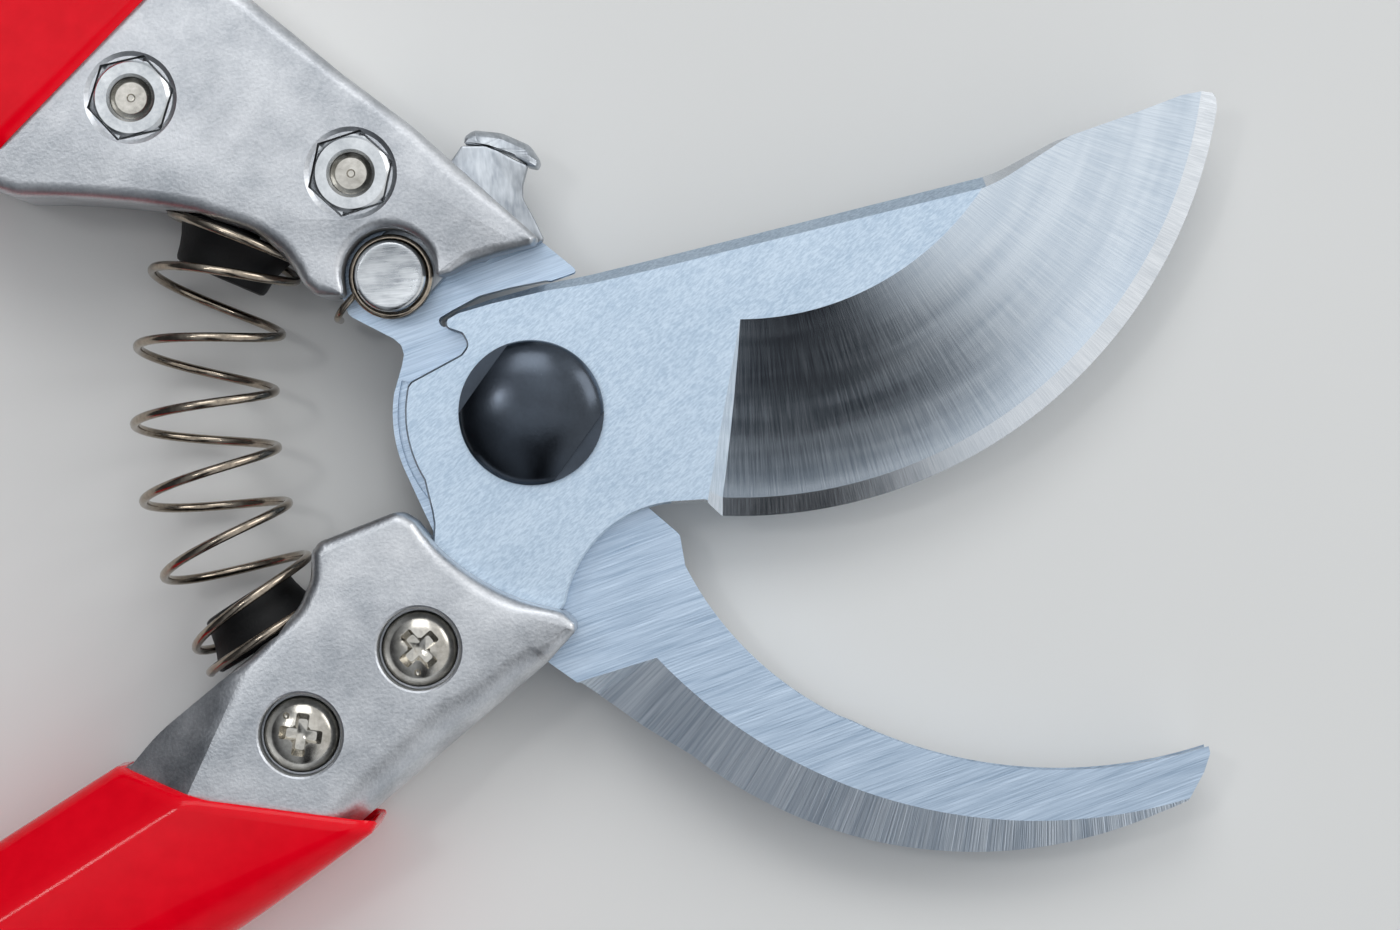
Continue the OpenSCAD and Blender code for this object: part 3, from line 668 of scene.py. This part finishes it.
def bladeCasting():
    outline = rounded([
        (-12.6, -9.4, 1.6), (-20.2, -12.4, 1.3), (-20.9, -13.4, 1), (-21, -16, 3), (-22.1, -18.7, 5),
        (-26.5, -23.2, 6), (-35.8, -30.8, 20), (-38.4, -33.9, 0.6), (-39.9, -34.4, 0.5), (-42, -37.6, 0.8)]
        + [(-30, -42.6, 10), (-20.6, -43, 1), (-15.3, -38.4, 20), (1.7, -23.9, 6), (4.4, -20.9, 1),
           (4.3, -20.1, 0.8), (3.1, -19.0, 2)]
        + arc((6.3, 2.5), 21.65, -101, -135, 16)
        + [(-11.0, -10.4, 1)], 8)
    outline = withoutDoubles(subdivided(outline, 2.5), 0.05)
    keys = [(-12.4, -9.6, 1.0), (-20, -12.4, 1.1), (-21.2, -16, 1.3), (-26.5, -23, 1.0), (-34, -29.5, 0.8),
            (-39, -34.5, 0.5), (-30, -42.6, 0.5), (-21, -43, 0.8), (-19.5, -42, 2.4), (-15.3, -38.4, 3.4),
            (-12.5, -36, 3.6), (-7, -31.5, 4.0), (0, -25.3, 3.0), (3.9, -21.6, 1.2), (4.3, -20.4, 0.7),
            (2.9, -19, 0.9), (-3, -17, 1.5), (-9, -12.5, 1.4)]
    rims = [rimAt(p, keys) for p in outline]
    obj = plateObject("bladeCasting", outline, casting["low"], casting["high"], rims, 0.8, 6)
    low, high = casting["low"] - 1, casting["high"]
    heel = hook["high"] + 0.3
    # the slanting face beside the ridge line
    (x0, y0), (x1, y1) = (-26.3, -22.6), (-32.6, -36.4)
    along = Vector((x1 - x0, y1 - y0, 0)).normalized()
    left = Vector((along.y, -along.x, 0))
    drop = tan(radians(casting["slope"]))
    section = [(0, 0), (16, -16 * drop), (16, 6), (-4, 6), (-4, 4 * drop)]
    rings = [[Vector((x0, y0, high)) + along * reach + left * out + Vector((0, 0, up)) for out, up in section]
             for reach in (-8, 40)]
    tools = [
        cylinder("heel", (0, 0), 20.5, low, heel, 120),
        prism("hook", [(-5, -60), (20, -60), (20, 0), (-5, 0)], low, heel),
        prism("slot", grown(bladeOutline(), 0.1), blade["low"] - 0.1, blade["high"]),
        ringObject("ridge", rings)]
    floor, flat = casting["counterboreFloor"], casting["counterbore"] / 2
    head = [(0, floor), (flat, floor), (flat, high - 0.35), (flat + 0.12, high - 0.1),
            (flat + 0.4, high + 0.05), (flat + 0.4, high + 1), (0, high + 1)]
    for centre in blade["screws"]:
        tools += [cylinder("shank", centre, casting["screwBore"] / 2, low, 17),
                  turnedObject("head", head, centre, steps=72)]
        tools += nutPocket(centre, blade["nutTurn"], casting["low"], -1)
    carved(obj, tools + seatCut(1))
    smoothed(fixedNormals(obj), 28)
    finished(obj, "blade_side", ["blade_handle"], castMetal)


grip = {
    "thick": 17, "lip": 0.9, "wall": 3.25, "front": 0.95, "frontDeep": 3, "stations": 46, "tail": 7,
    "reach": 155, "squareFront": 0.2, "outerRound": 6.2, "frontRound": 1.8, "innerDrop": 4.2}
hookGrip = {
    "axis": 151, "side": -1, "start": [(-6, 57.26), (23, 49.45)], "ridge": 2.2,
    "sections": [(46, 8.5, 29), (60.1, 8.5, 27.5), (76.2, 10.5, 24), (96.3, 12.5, 21.5), (121.4, 11.5, 20),
                 (146.5, 7.5, 17)]}
bladeGrip = {
    "axis": 211, "side": 1, "start": [(9.33, 50.87), (14.4, 46.8), (18.65, 42.35), (25.8, 32.75)], "ridge": 6,
    "sections": [(26, 17.4, 17), (50.1, 18.4, 19.6), (74.2, 19.2, 20.2), (98.3, 17.5, 20.4),
                 (122.4, 13.5, 19.5), (146.5, 7.5, 17)]}


def smoothCurve(keys, x):
    # a curve through the keys without overshoot
    xs = [k[0] for k in keys]
    ys = [k[1] for k in keys]
    slopes = [0.0] * len(xs)
    for i in range(1, len(xs) - 1):
        before = (ys[i] - ys[i - 1]) / (xs[i] - xs[i - 1])
        after = (ys[i + 1] - ys[i]) / (xs[i + 1] - xs[i])
        slopes[i] = 0 if before * after <= 0 else 2 * before * after / (before + after)
    slopes[0] = (ys[1] - ys[0]) / (xs[1] - xs[0])
    slopes[-1] = (ys[-1] - ys[-2]) / (xs[-1] - xs[-2])
    x = min(max(x, xs[0]), xs[-1])
    i = max(0, min(len(xs) - 2, sum(1 for v in xs if v <= x) - 1))
    span = xs[i + 1] - xs[i]
    t = (x - xs[i]) / span
    return ((1 + 2 * t) * (1 - t) ** 2 * ys[i] + t * (1 - t) ** 2 * span * slopes[i]
            + t * t * (3 - 2 * t) * ys[i + 1] + t * t * (t - 1) * span * slopes[i + 1])


def gripSection(width, ridge, shrink, front):
    # half the grip is flat on top, the inner side slopes down to a rounded edge
    half = width / 2 - shrink
    low, high = shrink, grip["thick"] - shrink
    slope = min(ridge, half * 0.72)
    drop = min(grip["innerDrop"], (high - low) * 0.4)  # both close up at the grip's round end
    soft = max(0.4, 1 - shrink / 4)
    # the open front is squarer than the rest, to take the corner of the casting
    outer = (grip["outerRound"] + (grip["frontRound"] - grip["outerRound"]) * front) * soft
    corners = [(half, high, outer), (-half + slope, high, 3.6 * soft), (-half, high - drop, 3 * soft),
               (-half, low + drop, 3 * soft), (-half + slope, low, 3.6 * soft), (half, low, outer)]
    return rounded(corners, 7)


def gripRing(look, share, shrink, back):
    # share runs from the slanting front rim to the end of the straight part
    end = grip["reach"] - grip["thick"] / 2
    offsets = [(s, o) for s, o, w in look["sections"]]
    widths = [(s, w) for s, o, w in look["sections"]]
    front = max(0, 1 - share / grip["squareFront"]) ** 1.5
    axis = radians(look["axis"])
    ring = []
    for k in range(len(gripSection(20, look["ridge"], 0, 0))):
        s = 50
        # how far along the grip a point lies depends on how far out it is, so this closes in on both
        for _ in range(6):
            v, z = gripSection(smoothCurve(widths, s), look["ridge"], shrink, front)[k]
            u = smoothCurve(offsets, s) + v
            first = smoothCurve(look["start"], u)
            s = first + (end - first) * share + back
        v = look["side"] * u
        ring.append((s * cos(axis) - v * sin(axis), s * sin(axis) + v * cos(axis), z))
    return ring


def makeGrip(name, look, body, node):
    lip, wall, front, deep = grip["lip"], grip["wall"], grip["front"], grip["frontDeep"]
    count, tail, end = grip["stations"], grip["tail"], grip["thick"] / 2
    # hollow end, inner wall, stepped mouth, rounded lip, outside, then the closed round end
    places = [(share, wall, 0) for share in np.linspace(0.9, 0.03, 8)]
    places += [(0, wall, deep + 0.01), (0, front, deep), (0, front, 0.25)]
    places += [(0, lip / 2 * (1 + cos(a * 1.05)) * 0.98, lip * (1 - sin(a)))
               for a in [pi * (k + 0.5) / 11 for k in range(6)]]
    places += [(share, 0, lip * (1 - share)) for share in [(k / (count - 1)) ** 1.15 for k in range(count)]]
    places += [(1, end * (1 - cos(a)) * 0.96, end * sin(a))
               for a in [pi / 2 * k / tail for k in range(1, tail + 1)]]
    obj = smoothed(ringObject(name, [gripRing(look, *place) for place in places]), 50)
    finished(obj, body, [node], vinyl)


lever = {"low": 7.95, "high": 10.45, "rim": 0.25, "lip": 3, "lipRound": 1.5, "lipReach": 1.6, "bore": 2.05}


def thumbLever():
    lockAt = hook["lock"]
    outline = rounded(
        arc(lockAt, 4, 110, 300, 40)
        + [(-8, 13.6, 0.5), (-6, 14.9, 0.5), (-4.6, 14.6, 0.3), (-3.6, 15.4, 0.5), (0.2, 16.1, 0.3),
           (1.2, 16.7, 0.4), (0.2, 18.8, 2), (-0.9, 20.8, 1.2), (-0.9, 22.0, 0.8), (-0.4, 23.9, 0.3)]
        + [(-1.7, 24.5, 1), (-3.2, 25.3, 1.5), (-4.5, 25.8, 1.5), (-6.8, 25.8, 0.4), (-7.6, 24.6, 3),
           (-12.5, 19, 3)])
    outline = withoutDoubles(outline, 0.05)
    obj = plateObject("thumbLever", outline, lever["low"], lever["high"], lever["rim"], 0.2, 2)
    # the lip is bent down over a rounded shoulder
    lip = withoutDoubles(rounded([
        (-6.55, 26.0, 0.2), (-6.5, 26.7, 0.4), (-5.7, 27.4, 0.9), (-2.9, 27.1, 3), (-0.2, 25.9, 1.6),
        (0.8, 24.4, 0.8), (0.5, 23.7, 0.3), (-0.4, 23.9, 0.3), (-1.8, 24.9, 2), (-4.2, 25.7, 2)], 7), 0.05)
    lip.reverse()
    outer = subdivided([(-5.7, 27.4), (-2.9, 27.1), (-0.2, 25.9), (0.8, 24.4)], 0.4)[:24]
    away = [min(dist(p, q) for q in outer) / lever["lipReach"] for p in lip]
    rims = [lever["lipRound"] * max(0.0, 1 - d) + 0.12 for d in away]
    bent = plateObject("lip", lip, lever["low"] - lever["lip"], lever["high"] - 0.02, rims, 0.3, 5)
    carved(obj, [bent], "UNION")
    carved(obj, [cylinder("bore", lockAt, lever["bore"], 0, 20, 48)])
    smoothed(fixedNormals(obj), 25)
    finished(obj, "lock", ["lock_lever"], leverSteel)


bolt = {"shank": 4, "radius": 7, "low": 11.6, "flange": 0.8, "dome": 2.25, "flatOut": 5.6, "flatTurn": 54.4}


def pivotBolt():
    shank, radius, low, dome = bolt["shank"], bolt["radius"], bolt["low"], bolt["dome"]
    top = low + bolt["flange"]
    profile = [(0, 0.02), (shank - 0.5, 0.02), (shank, 0.5), (shank, low), (radius - 0.12, low),
               (radius, low + 0.12), (radius, top - 0.1)]
    for k in range(1, 18):
        angle = pi / 2 * k / 18
        profile.append((radius * cos(angle) ** 0.92, top + dome * sin(angle) ** 1.1))
    obj = turnedObject("pivotBolt", profile + [(0, top + dome)], steps=120)
    out = bolt["flatOut"]
    block = [(-9, out), (9, out), (9, 12), (-9, 12)]
    carved(obj, [moved(prism("flat", block, top, 20), at(0, 0, 0, bolt["flatTurn"] + side))
                 for side in (0, 180)])
    smoothed(fixedNormals(obj), 30)
    finished(obj, "hook_side", ["pivot_bolt"], blackOxide)


pin = {"low": 2.4, "button": 12.8, "high": 14.2, "radius": 2, "head": 3.45}


def lockPin():
    low, button, high, radius, head = pin.values()
    profile = [(0, low), (radius - 0.4, low), (radius, low + 0.4), (radius, button), (head - 0.15, button),
               (head, button + 0.15), (head, high - 0.4), (head - 0.08, high - 0.18),
               (head - 0.3, high - 0.02), (head - 0.5, high), (head - 0.75, high - 0.05), (0, high - 0.05)]
    obj = turnedObject("lockPin", profile, hook["lock"], steps=96)
    paintFaces(obj, {"top": pinSteel, "side": zinc},
               lambda c, n: "top" if n.z > 0.97 and c.z > high - 0.3 else "side")
    smoothed(obj, 35)
    finished(obj, "hook_side", ["lock_pin"])


def springSeat(name, side, body, node):
    wide, tip, long, plug, deep = seat["wide"], seat["tip"], seat["long"], seat["plug"], seat["plugLong"]
    profile = [(0, -deep), (plug - 0.3, -deep), (plug, 0.4 - deep), (plug, 0), (wide - 0.2, 0), (wide, 0.2),
               (wide, 0.5)]
    profile += [(wide - (wide - tip) * t - 0.25 * sin(pi * t), 0.5 + (long - 1) * t)
                for t in (0.25, 0.5, 0.75, 1)]
    profile += [(tip - 0.15, long - 0.15), (tip - 0.5, long), (2.4, long), (2.2, long - 0.4), (0, long - 0.5)]
    obj = moved(turnedObject(name, profile, steps=72), atSeat(side))
    smoothed(obj, 35)
    finished(obj, body, [node], rubber)


def newTree(name, inputs):
    # a node group, the identifiers of its inputs and its first node
    tree = bpy.data.node_groups.new(name, "GeometryNodeTree")
    inputs = {"Geometry": "Geometry", **inputs, "Finish": "Material"}
    sockets = {key: tree.interface.new_socket(key, in_out="INPUT", socket_type="NodeSocket" + kind).identifier
               for key, kind in inputs.items()}
    tree.interface.new_socket("Geometry", in_out="OUTPUT", socket_type="NodeSocketGeometry")
    return tree, sockets, addNode(tree, "NodeGroupInput")


def endTree(tree, entry, made):
    real = addNode(tree, "GeometryNodeRealizeInstances", {0: made})
    dressed = addNode(tree, "GeometryNodeSetMaterial", {
        "Geometry": real, "Material": entry.outputs["Finish"]})
    addNode(tree, "NodeGroupOutput", {0: dressed})


def partsOnPoints():
    # one copy of a part on every point, tipped and turned by the point's own angles
    tree, sockets, entry = newTree("partsOnPoints", {"Part": "Object", "Size": "Float"})
    turn = addNode(tree, "GeometryNodeInputNamedAttribute", {"data_type": "FLOAT_VECTOR", "Name": "turn"})
    part = addNode(tree, "GeometryNodeObjectInfo", {"Object": entry.outputs["Part"]})
    copies = addNode(tree, "GeometryNodeInstanceOnPoints", {
        "Points": entry.outputs["Geometry"], "Instance": part.outputs["Geometry"], "Rotation": turn,
        "Scale": entry.outputs["Size"]})
    endTree(tree, entry, copies)
    return tree, sockets


def wireAlongPath():
    # a round wire along a curve, with closed ends
    tree, sockets, entry = newTree("wireAlongPath", {"Wire Radius": "Float", "Sides": "Int"})
    ring = addNode(tree, "GeometryNodeCurvePrimitiveCircle", {
        "Resolution": entry.outputs["Sides"], "Radius": entry.outputs["Wire Radius"]})
    skin = addNode(tree, "GeometryNodeCurveToMesh", {
        "Fill Caps": True, "Curve": entry.outputs["Geometry"], "Profile Curve": ring})
    endTree(tree, entry, addNode(tree, "GeometryNodeSetShadeSmooth", {"Geometry": skin}))
    return tree, sockets


pointTree, pointSockets = partsOnPoints()
wireTree, wireSockets = wireAlongPath()


def treeApplied(obj, tree, sockets, values):
    modifier = obj.modifiers.new("nodes", "NODES")
    modifier.node_group = tree
    for name, value in values.items():
        modifier[sockets[name]] = value
    mesh = evaluatedMesh(obj)
    obj.modifiers.clear()
    name = obj.name
    library = bpy.data.curves if obj.type == "CURVE" else bpy.data.meshes
    library.remove(obj.data)  # the object goes with its data
    made = bpy.data.objects.new(name, mesh)
    bpy.context.collection.objects.link(made)
    return made


def placed(name, part, places, finish):
    # places are (x, y, z, tip, turn) in millimetres and degrees
    holder = meshObject(name, [p[:3] for p in places], [])
    turn = holder.data.attributes.new("turn", "FLOAT_VECTOR", "POINT")
    for i, p in enumerate(places):
        turn.data[i].vector = (radians(p[3]), 0, radians(p[4]))
    made = treeApplied(holder, pointTree, pointSockets, {"Part": part, "Size": 1.0, "Finish": finish})
    bpy.data.meshes.remove(part.data)
    return made


screw = {"shank": 2, "head": 3.68, "headHigh": 2.4, "skirt": 0.75, "recess": 1.25, "arm": 0.62,
         "armLong": 2.05, "pitch": 0.7, "hookLength": 12.6, "bladeLength": 11.7}
nut = {"flats": 7, "height": 3.2, "bore": 2.03, "pivotFlats": 13, "pivotHeight": 3, "pivotBore": 4.05,
       "pivotTurn": 10}


def panScrew(length):
    # pan head with a tapering cross recess and the small dimple struck beside it
    shank, top, skirt, high = screw["shank"], screw["head"], screw["skirt"], screw["headHigh"]
    pitch = screw["pitch"]
    profile = [(0, -length + 0.18), (0.3, -length + 0.16), (0.42, -length), (1.5, -length),
               (shank - 0.3, -length + 0.2)]
    turns = int((length - 1.2) / pitch)
    for k in range(turns):
        z = -length + pitch / 2 + k * pitch
        profile += [(shank - 0.02, z), (shank - 0.32, z + pitch / 2)]
    profile += [(shank - 0.05, -length + pitch / 2 + turns * pitch), (shank - 0.05, 0), (top - 0.1, 0),
                (top, 0.12), (top, skirt)]
    for k in range(1, 12):
        angle = pi / 2 * k / 12
        profile.append((top * cos(angle) ** 0.8, skirt + (high - skirt) * sin(angle)))
    obj = turnedObject("panScrew", profile + [(0, high)], steps=72)
    arm, long, floor = screw["arm"], screw["armLong"], high - screw["recess"]
    tools = []
    for turn in (0, 90):
        rings = []
        for z, grow in ((floor, 0.72), (high - 0.25, 1.0), (high + 0.6, 1.14)):
            x, y = long * grow, arm * grow
            ring = rounded([(x, -y, 0.2), (x, y, 0.2), (-x, y, 0.2), (-x, -y, 0.2)], 3)
            rings.append([(*p, z) for p in ring])
        tools.append(moved(ringObject("arm", rings), at(0, 0, 0, turn)))
    heart = [(0, floor - 0.25), (0.5, floor), (1.05, high - 0.2), (1.25, high + 0.5), (0, high + 0.5)]
    dimple = [(0, high - 0.75), (0.2, high - 0.65), (0.32, high - 0.3), (0.5, high + 1), (0, high + 1)]
    carved(obj, tools + [turnedObject("heart", heart, steps=24),
                         turnedObject("dimple", dimple, polar((0, 0), 2.3, 45), steps=20)])
    return smoothed(fixedNormals(obj), 32)


def hexNut(flats, height, bore):
    # bevelled on top and below, with a countersunk bore
    corner = flats / 2 / cos(pi / 6)
    obj = ringObject("hexNut", [hexRing(flats, z) for z in (0, height)])
    cone = (corner - flats / 2 * 0.985) * tan(radians(32))
    face = flats / 2 * 0.97
    barrel = [(0, 0), (face, 0), (corner + 0.1, cone + 0.15), (corner + 0.1, height - cone - 0.15),
              (face, height), (0, height)]
    carved(obj, [turnedObject("barrel", barrel, steps=96)], "INTERSECT")
    hole = [(0, -1), (bore + 1.3, -1), (bore + 0.3, 0), (bore, 0.35), (bore, height - 0.35),
            (bore + 0.3, height), (bore + 1.3, height + 1), (0, height + 1)]
    carved(obj, [turnedObject("hole", hole, steps=72)])
    return smoothed(fixedNormals(obj), 25)


def fasteners():
    # every row: name, part, height, tip, the turn of each copy, their centres, body, slot, nodes, finish
    sunk = casting["nutSink"]
    low, high = casting["low"], casting["high"]
    rows = [
        ("hookScrews", panScrew(screw["hookLength"]), casting["headBoreTop"], 180, (20, 70), hook["screws"],
         "hook_side", "screw_nickel", ["hook_screw_front", "hook_screw_rear"], nickel),
        ("hookNuts", hexNut(nut["flats"], nut["height"], nut["bore"]), high - nut["height"] - sunk, 0,
         hook["nutTurns"], hook["screws"], "hook_side", "nut_steel",
         ["hook_nut_front", "hook_nut_rear"], zinc),
        ("bladeScrews", panScrew(screw["bladeLength"]), casting["counterboreFloor"], 0, (222, 82),
         blade["screws"], "blade_side", "screw_nickel", ["blade_screw_front", "blade_screw_rear"], nickel),
        ("bladeNuts", hexNut(nut["flats"], nut["height"], nut["bore"]), low + sunk, 0,
         (blade["nutTurn"], blade["nutTurn"]), blade["screws"], "blade_side", "nut_steel",
         ["blade_nut_front", "blade_nut_rear"], zinc),
        ("pivotNut", hexNut(nut["pivotFlats"], nut["pivotHeight"], nut["pivotBore"]), 0, 0,
         (nut["pivotTurn"],), [(0, 0)], "hook_side", "black_oxide_steel", ["pivot_nut"], blackOxide)]
    for name, part, z, tip, turns, centres, body, slot, nodes, finish in rows:
        places = [(x, y, z, tip, turn) for (x, y), turn in zip(centres, turns)]
        finished(placed(name, part, places, finish), body, nodes)


def pathCurve(name, points):
    curve = bpy.data.curves.new(name, "CURVE")
    curve.dimensions = "3D"
    spline = curve.splines.new("POLY")
    spline.points.add(len(points) - 1)
    for p, target in zip(points, spline.points):
        target.co = (*(c * mm for c in p), 1)
    obj = bpy.data.objects.new(name, curve)
    bpy.context.collection.objects.link(obj)
    return obj


spring = {"wire": 0.9, "outer": 14.5, "turns": 7.5, "steps": 40, "sides": 14, "endTurns": 0.75,
          "endRise": 0.15, "travel": 55}


def springPath():
    radius = (spring["outer"] - spring["wire"]) / 2
    half = seat["half"]
    bow = seat["base"][1] / sin(radians(half))
    bowX = seat["base"][0] - bow * cos(radians(half))
    lift = degrees((spring["wire"] / 2 + 0.06) / bow)
    turns, end, rise = spring["turns"], spring["endTurns"] / spring["turns"], spring["endRise"]
    count = int(spring["steps"] * turns)
    points = []
    for i in range(count + 1):
        t = i / count
        if t < end:
            share = rise * t
        elif t > 1 - end:
            share = 1 - rise * (1 - t)
        else:
            share = rise * end + (t - end) * (1 - 2 * rise * end) / (1 - 2 * end)
        a = radians((half - lift) * (1 - 2 * share))
        turn = 2 * pi * turns * t
        out = bow + radius * cos(turn)
        flat = (bowX + out * cos(a), out * sin(a))
        x, y = Matrix.Rotation(radians(seat["middle"]), 2) @ Vector(flat)
        points.append((x, y, seat["height"] + radius * sin(turn)))
    return points


def mainSpring():
    path = springPath()
    obj = treeApplied(pathCurve("mainSpring", path), wireTree, wireSockets, {
        "Wire Radius": spring["wire"] / 2 * mm, "Sides": spring["sides"], "Finish": springMetal})
    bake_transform(obj)
    # the wire's points are read into an array; nothing moves the turns
    points = np.empty(len(obj.data.vertices) * 3)
    obj.data.vertices.foreach_get("co", points)
    points = points.reshape(-1, 3)
    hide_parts("main_spring")
    print("made", obj.name, len(obj.data.polygons), "faces")


lockCoil = {"wire": 0.7, "radius": 3.75, "low": 10.95, "pitch": 0.8, "turns": 1.75}


def lockSpring():
    coil, lowest, pitch, turns = lockCoil["radius"], lockCoil["low"], lockCoil["pitch"], lockCoil["turns"]
    # its leg comes up past the hook blade and runs over into the coil
    leg = [(-18.9, 9.1, 4.3), (-18.9, 9.1, 8.2), (-18.88, 9.13, 8.8), (-18.75, 9.3, 9.7), (-18.5, 9.65, 10.4),
           (-18.1, 10.2, 10.85)]
    ring = [(*polar(hook["lock"], coil, 205 - a), lowest + pitch * a / 360)
            for a in range(0, int(360 * turns) + 1, 8)]
    obj = treeApplied(pathCurve("lockSpring", leg + ring), wireTree, wireSockets,
                      {"Wire Radius": lockCoil["wire"] / 2 * mm, "Sides": 12, "Finish": springMetal})
    finished(obj, "hook_side", ["lock_spring"])


cuttingBlade()
hookBlade()
hookCasting()
bladeCasting()
makeGrip("hookGrip", hookGrip, "hook_side", "hook_grip")
makeGrip("bladeGrip", bladeGrip, "blade_side", "blade_grip")
thumbLever()
pivotBolt()
lockPin()
springSeat("hookSeat", -1, "hook_side", "hook_spring_seat")
springSeat("bladeSeat", 1, "blade_side", "blade_spring_seat")
fasteners()
mainSpring()
lockSpring()
for node in ("pivot_washer", "lock_clip"):
    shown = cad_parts[node]
    shown.data.materials.clear()
    shown.data.materials.append(washerSteel)


room = {"floor": "#E4E4E2", "floorSize": 3000, "strength": 0.9, "toBright": (0.85, 0.15, 0.4),
        "dark": "#46484C", "pale": "#D9DFE6", "bright": "#FBFCFD", "front": "#141418"}
# soft lights: where each hangs, how wide it is and how strongly it glows
panels = {"above": ((0, 200, 1250), 720, 0.45), "left": ((-350, 160, 920), 100, 16),
          "behind": ((-30, 620, 720), 420, 3), "right": ((820, 420, 520), 520, 3)}
view = {"lens": 120, "sensor": 36, "at": (16.24, -5.04, 461)}


def studio():
    size = room["floorSize"]
    floor = meshObject("floor", [(-size, -size, 0), (size, -size, 0), (size, size, 0), (-size, size, 0)],
                       [(0, 1, 2, 3)])
    floor.data.materials.append(newMaterial("matPaleBoard", room["floor"], 0, 0.75)[0])
    for name, (place, wide, glow) in panels.items():
        light = bpy.data.lights.new(name, "AREA")
        light.shape = "SQUARE"
        light.size = wide * mm
        light.energy = glow * pi * (wide * mm) ** 2
        lamp = bpy.data.objects.new(name, light)
        bpy.context.collection.objects.link(lamp)
        lamp.location = Vector(place) * mm
        lamp.rotation_euler = (-lamp.location).to_track_quat("-Z", "Y").to_euler()
    # a pale room: brightest to the right and behind, dim on the left, and black in front
    world = bpy.data.worlds.new("studio")
    bpy.context.scene.world = world
    world.use_nodes = True
    tree = world.node_tree
    look = addNode(tree, "ShaderNodeTexCoord").outputs["Generated"]
    axes = addNode(tree, "ShaderNodeSeparateXYZ", {0: look})
    side = addNode(tree, "ShaderNodeVectorMath", {
        "operation": "DOT_PRODUCT", 1: room["toBright"], 0: look}).outputs["Value"]
    dim = addNode(tree, "ShaderNodeMapRange", {"From Min": -0.4, "From Max": 0.36, "Value": side})
    clear = addNode(tree, "ShaderNodeMapRange", {"From Min": 0.36, "From Max": 0.75, "Value": side})
    left = addNode(tree, "ShaderNodeMix", {
        "data_type": "RGBA", 6: toLinear(room["dark"]), 7: toLinear(room["pale"]), 0: dim})
    walls = addNode(tree, "ShaderNodeMix", {
        "data_type": "RGBA", 7: toLinear(room["bright"]), 0: clear, 6: left.outputs[2]})
    front = addNode(tree, "ShaderNodeMapRange", {
        "interpolation_type": "SMOOTHSTEP", "From Min": -0.1, "From Max": -0.25, "Value": axes.outputs[1]})
    aside = addNode(tree, "ShaderNodeMath", {"operation": "SUBTRACT", 1: 0.1, 0: axes})
    away = addNode(tree, "ShaderNodeMath", {"operation": "ABSOLUTE", 0: aside})
    middle = addNode(tree, "ShaderNodeMapRange", {
        "interpolation_type": "SMOOTHSTEP", "From Min": 0.28, "From Max": 0.08, "Value": away})
    black = addNode(tree, "ShaderNodeMath", {"operation": "MULTIPLY", 0: front, 1: middle})
    whole = addNode(tree, "ShaderNodeMix", {
        "data_type": "RGBA", 7: toLinear(room["front"]), 0: black, 6: walls.outputs[2]})
    background = tree.nodes["Background"].inputs
    tree.links.new(whole.outputs[2], background["Color"])
    background["Strength"].default_value = room["strength"]
    bpy.context.scene.view_settings.view_transform = "Standard"
    camera = bpy.data.cameras.new("camera")
    camera.lens = view["lens"]
    camera.sensor_width = view["sensor"]
    eye = bpy.data.objects.new("camera", camera)
    bpy.context.collection.objects.link(eye)
    eye.location = Vector(view["at"]) * mm
    bpy.context.scene.camera = eye
    print("studio ready")


studio()
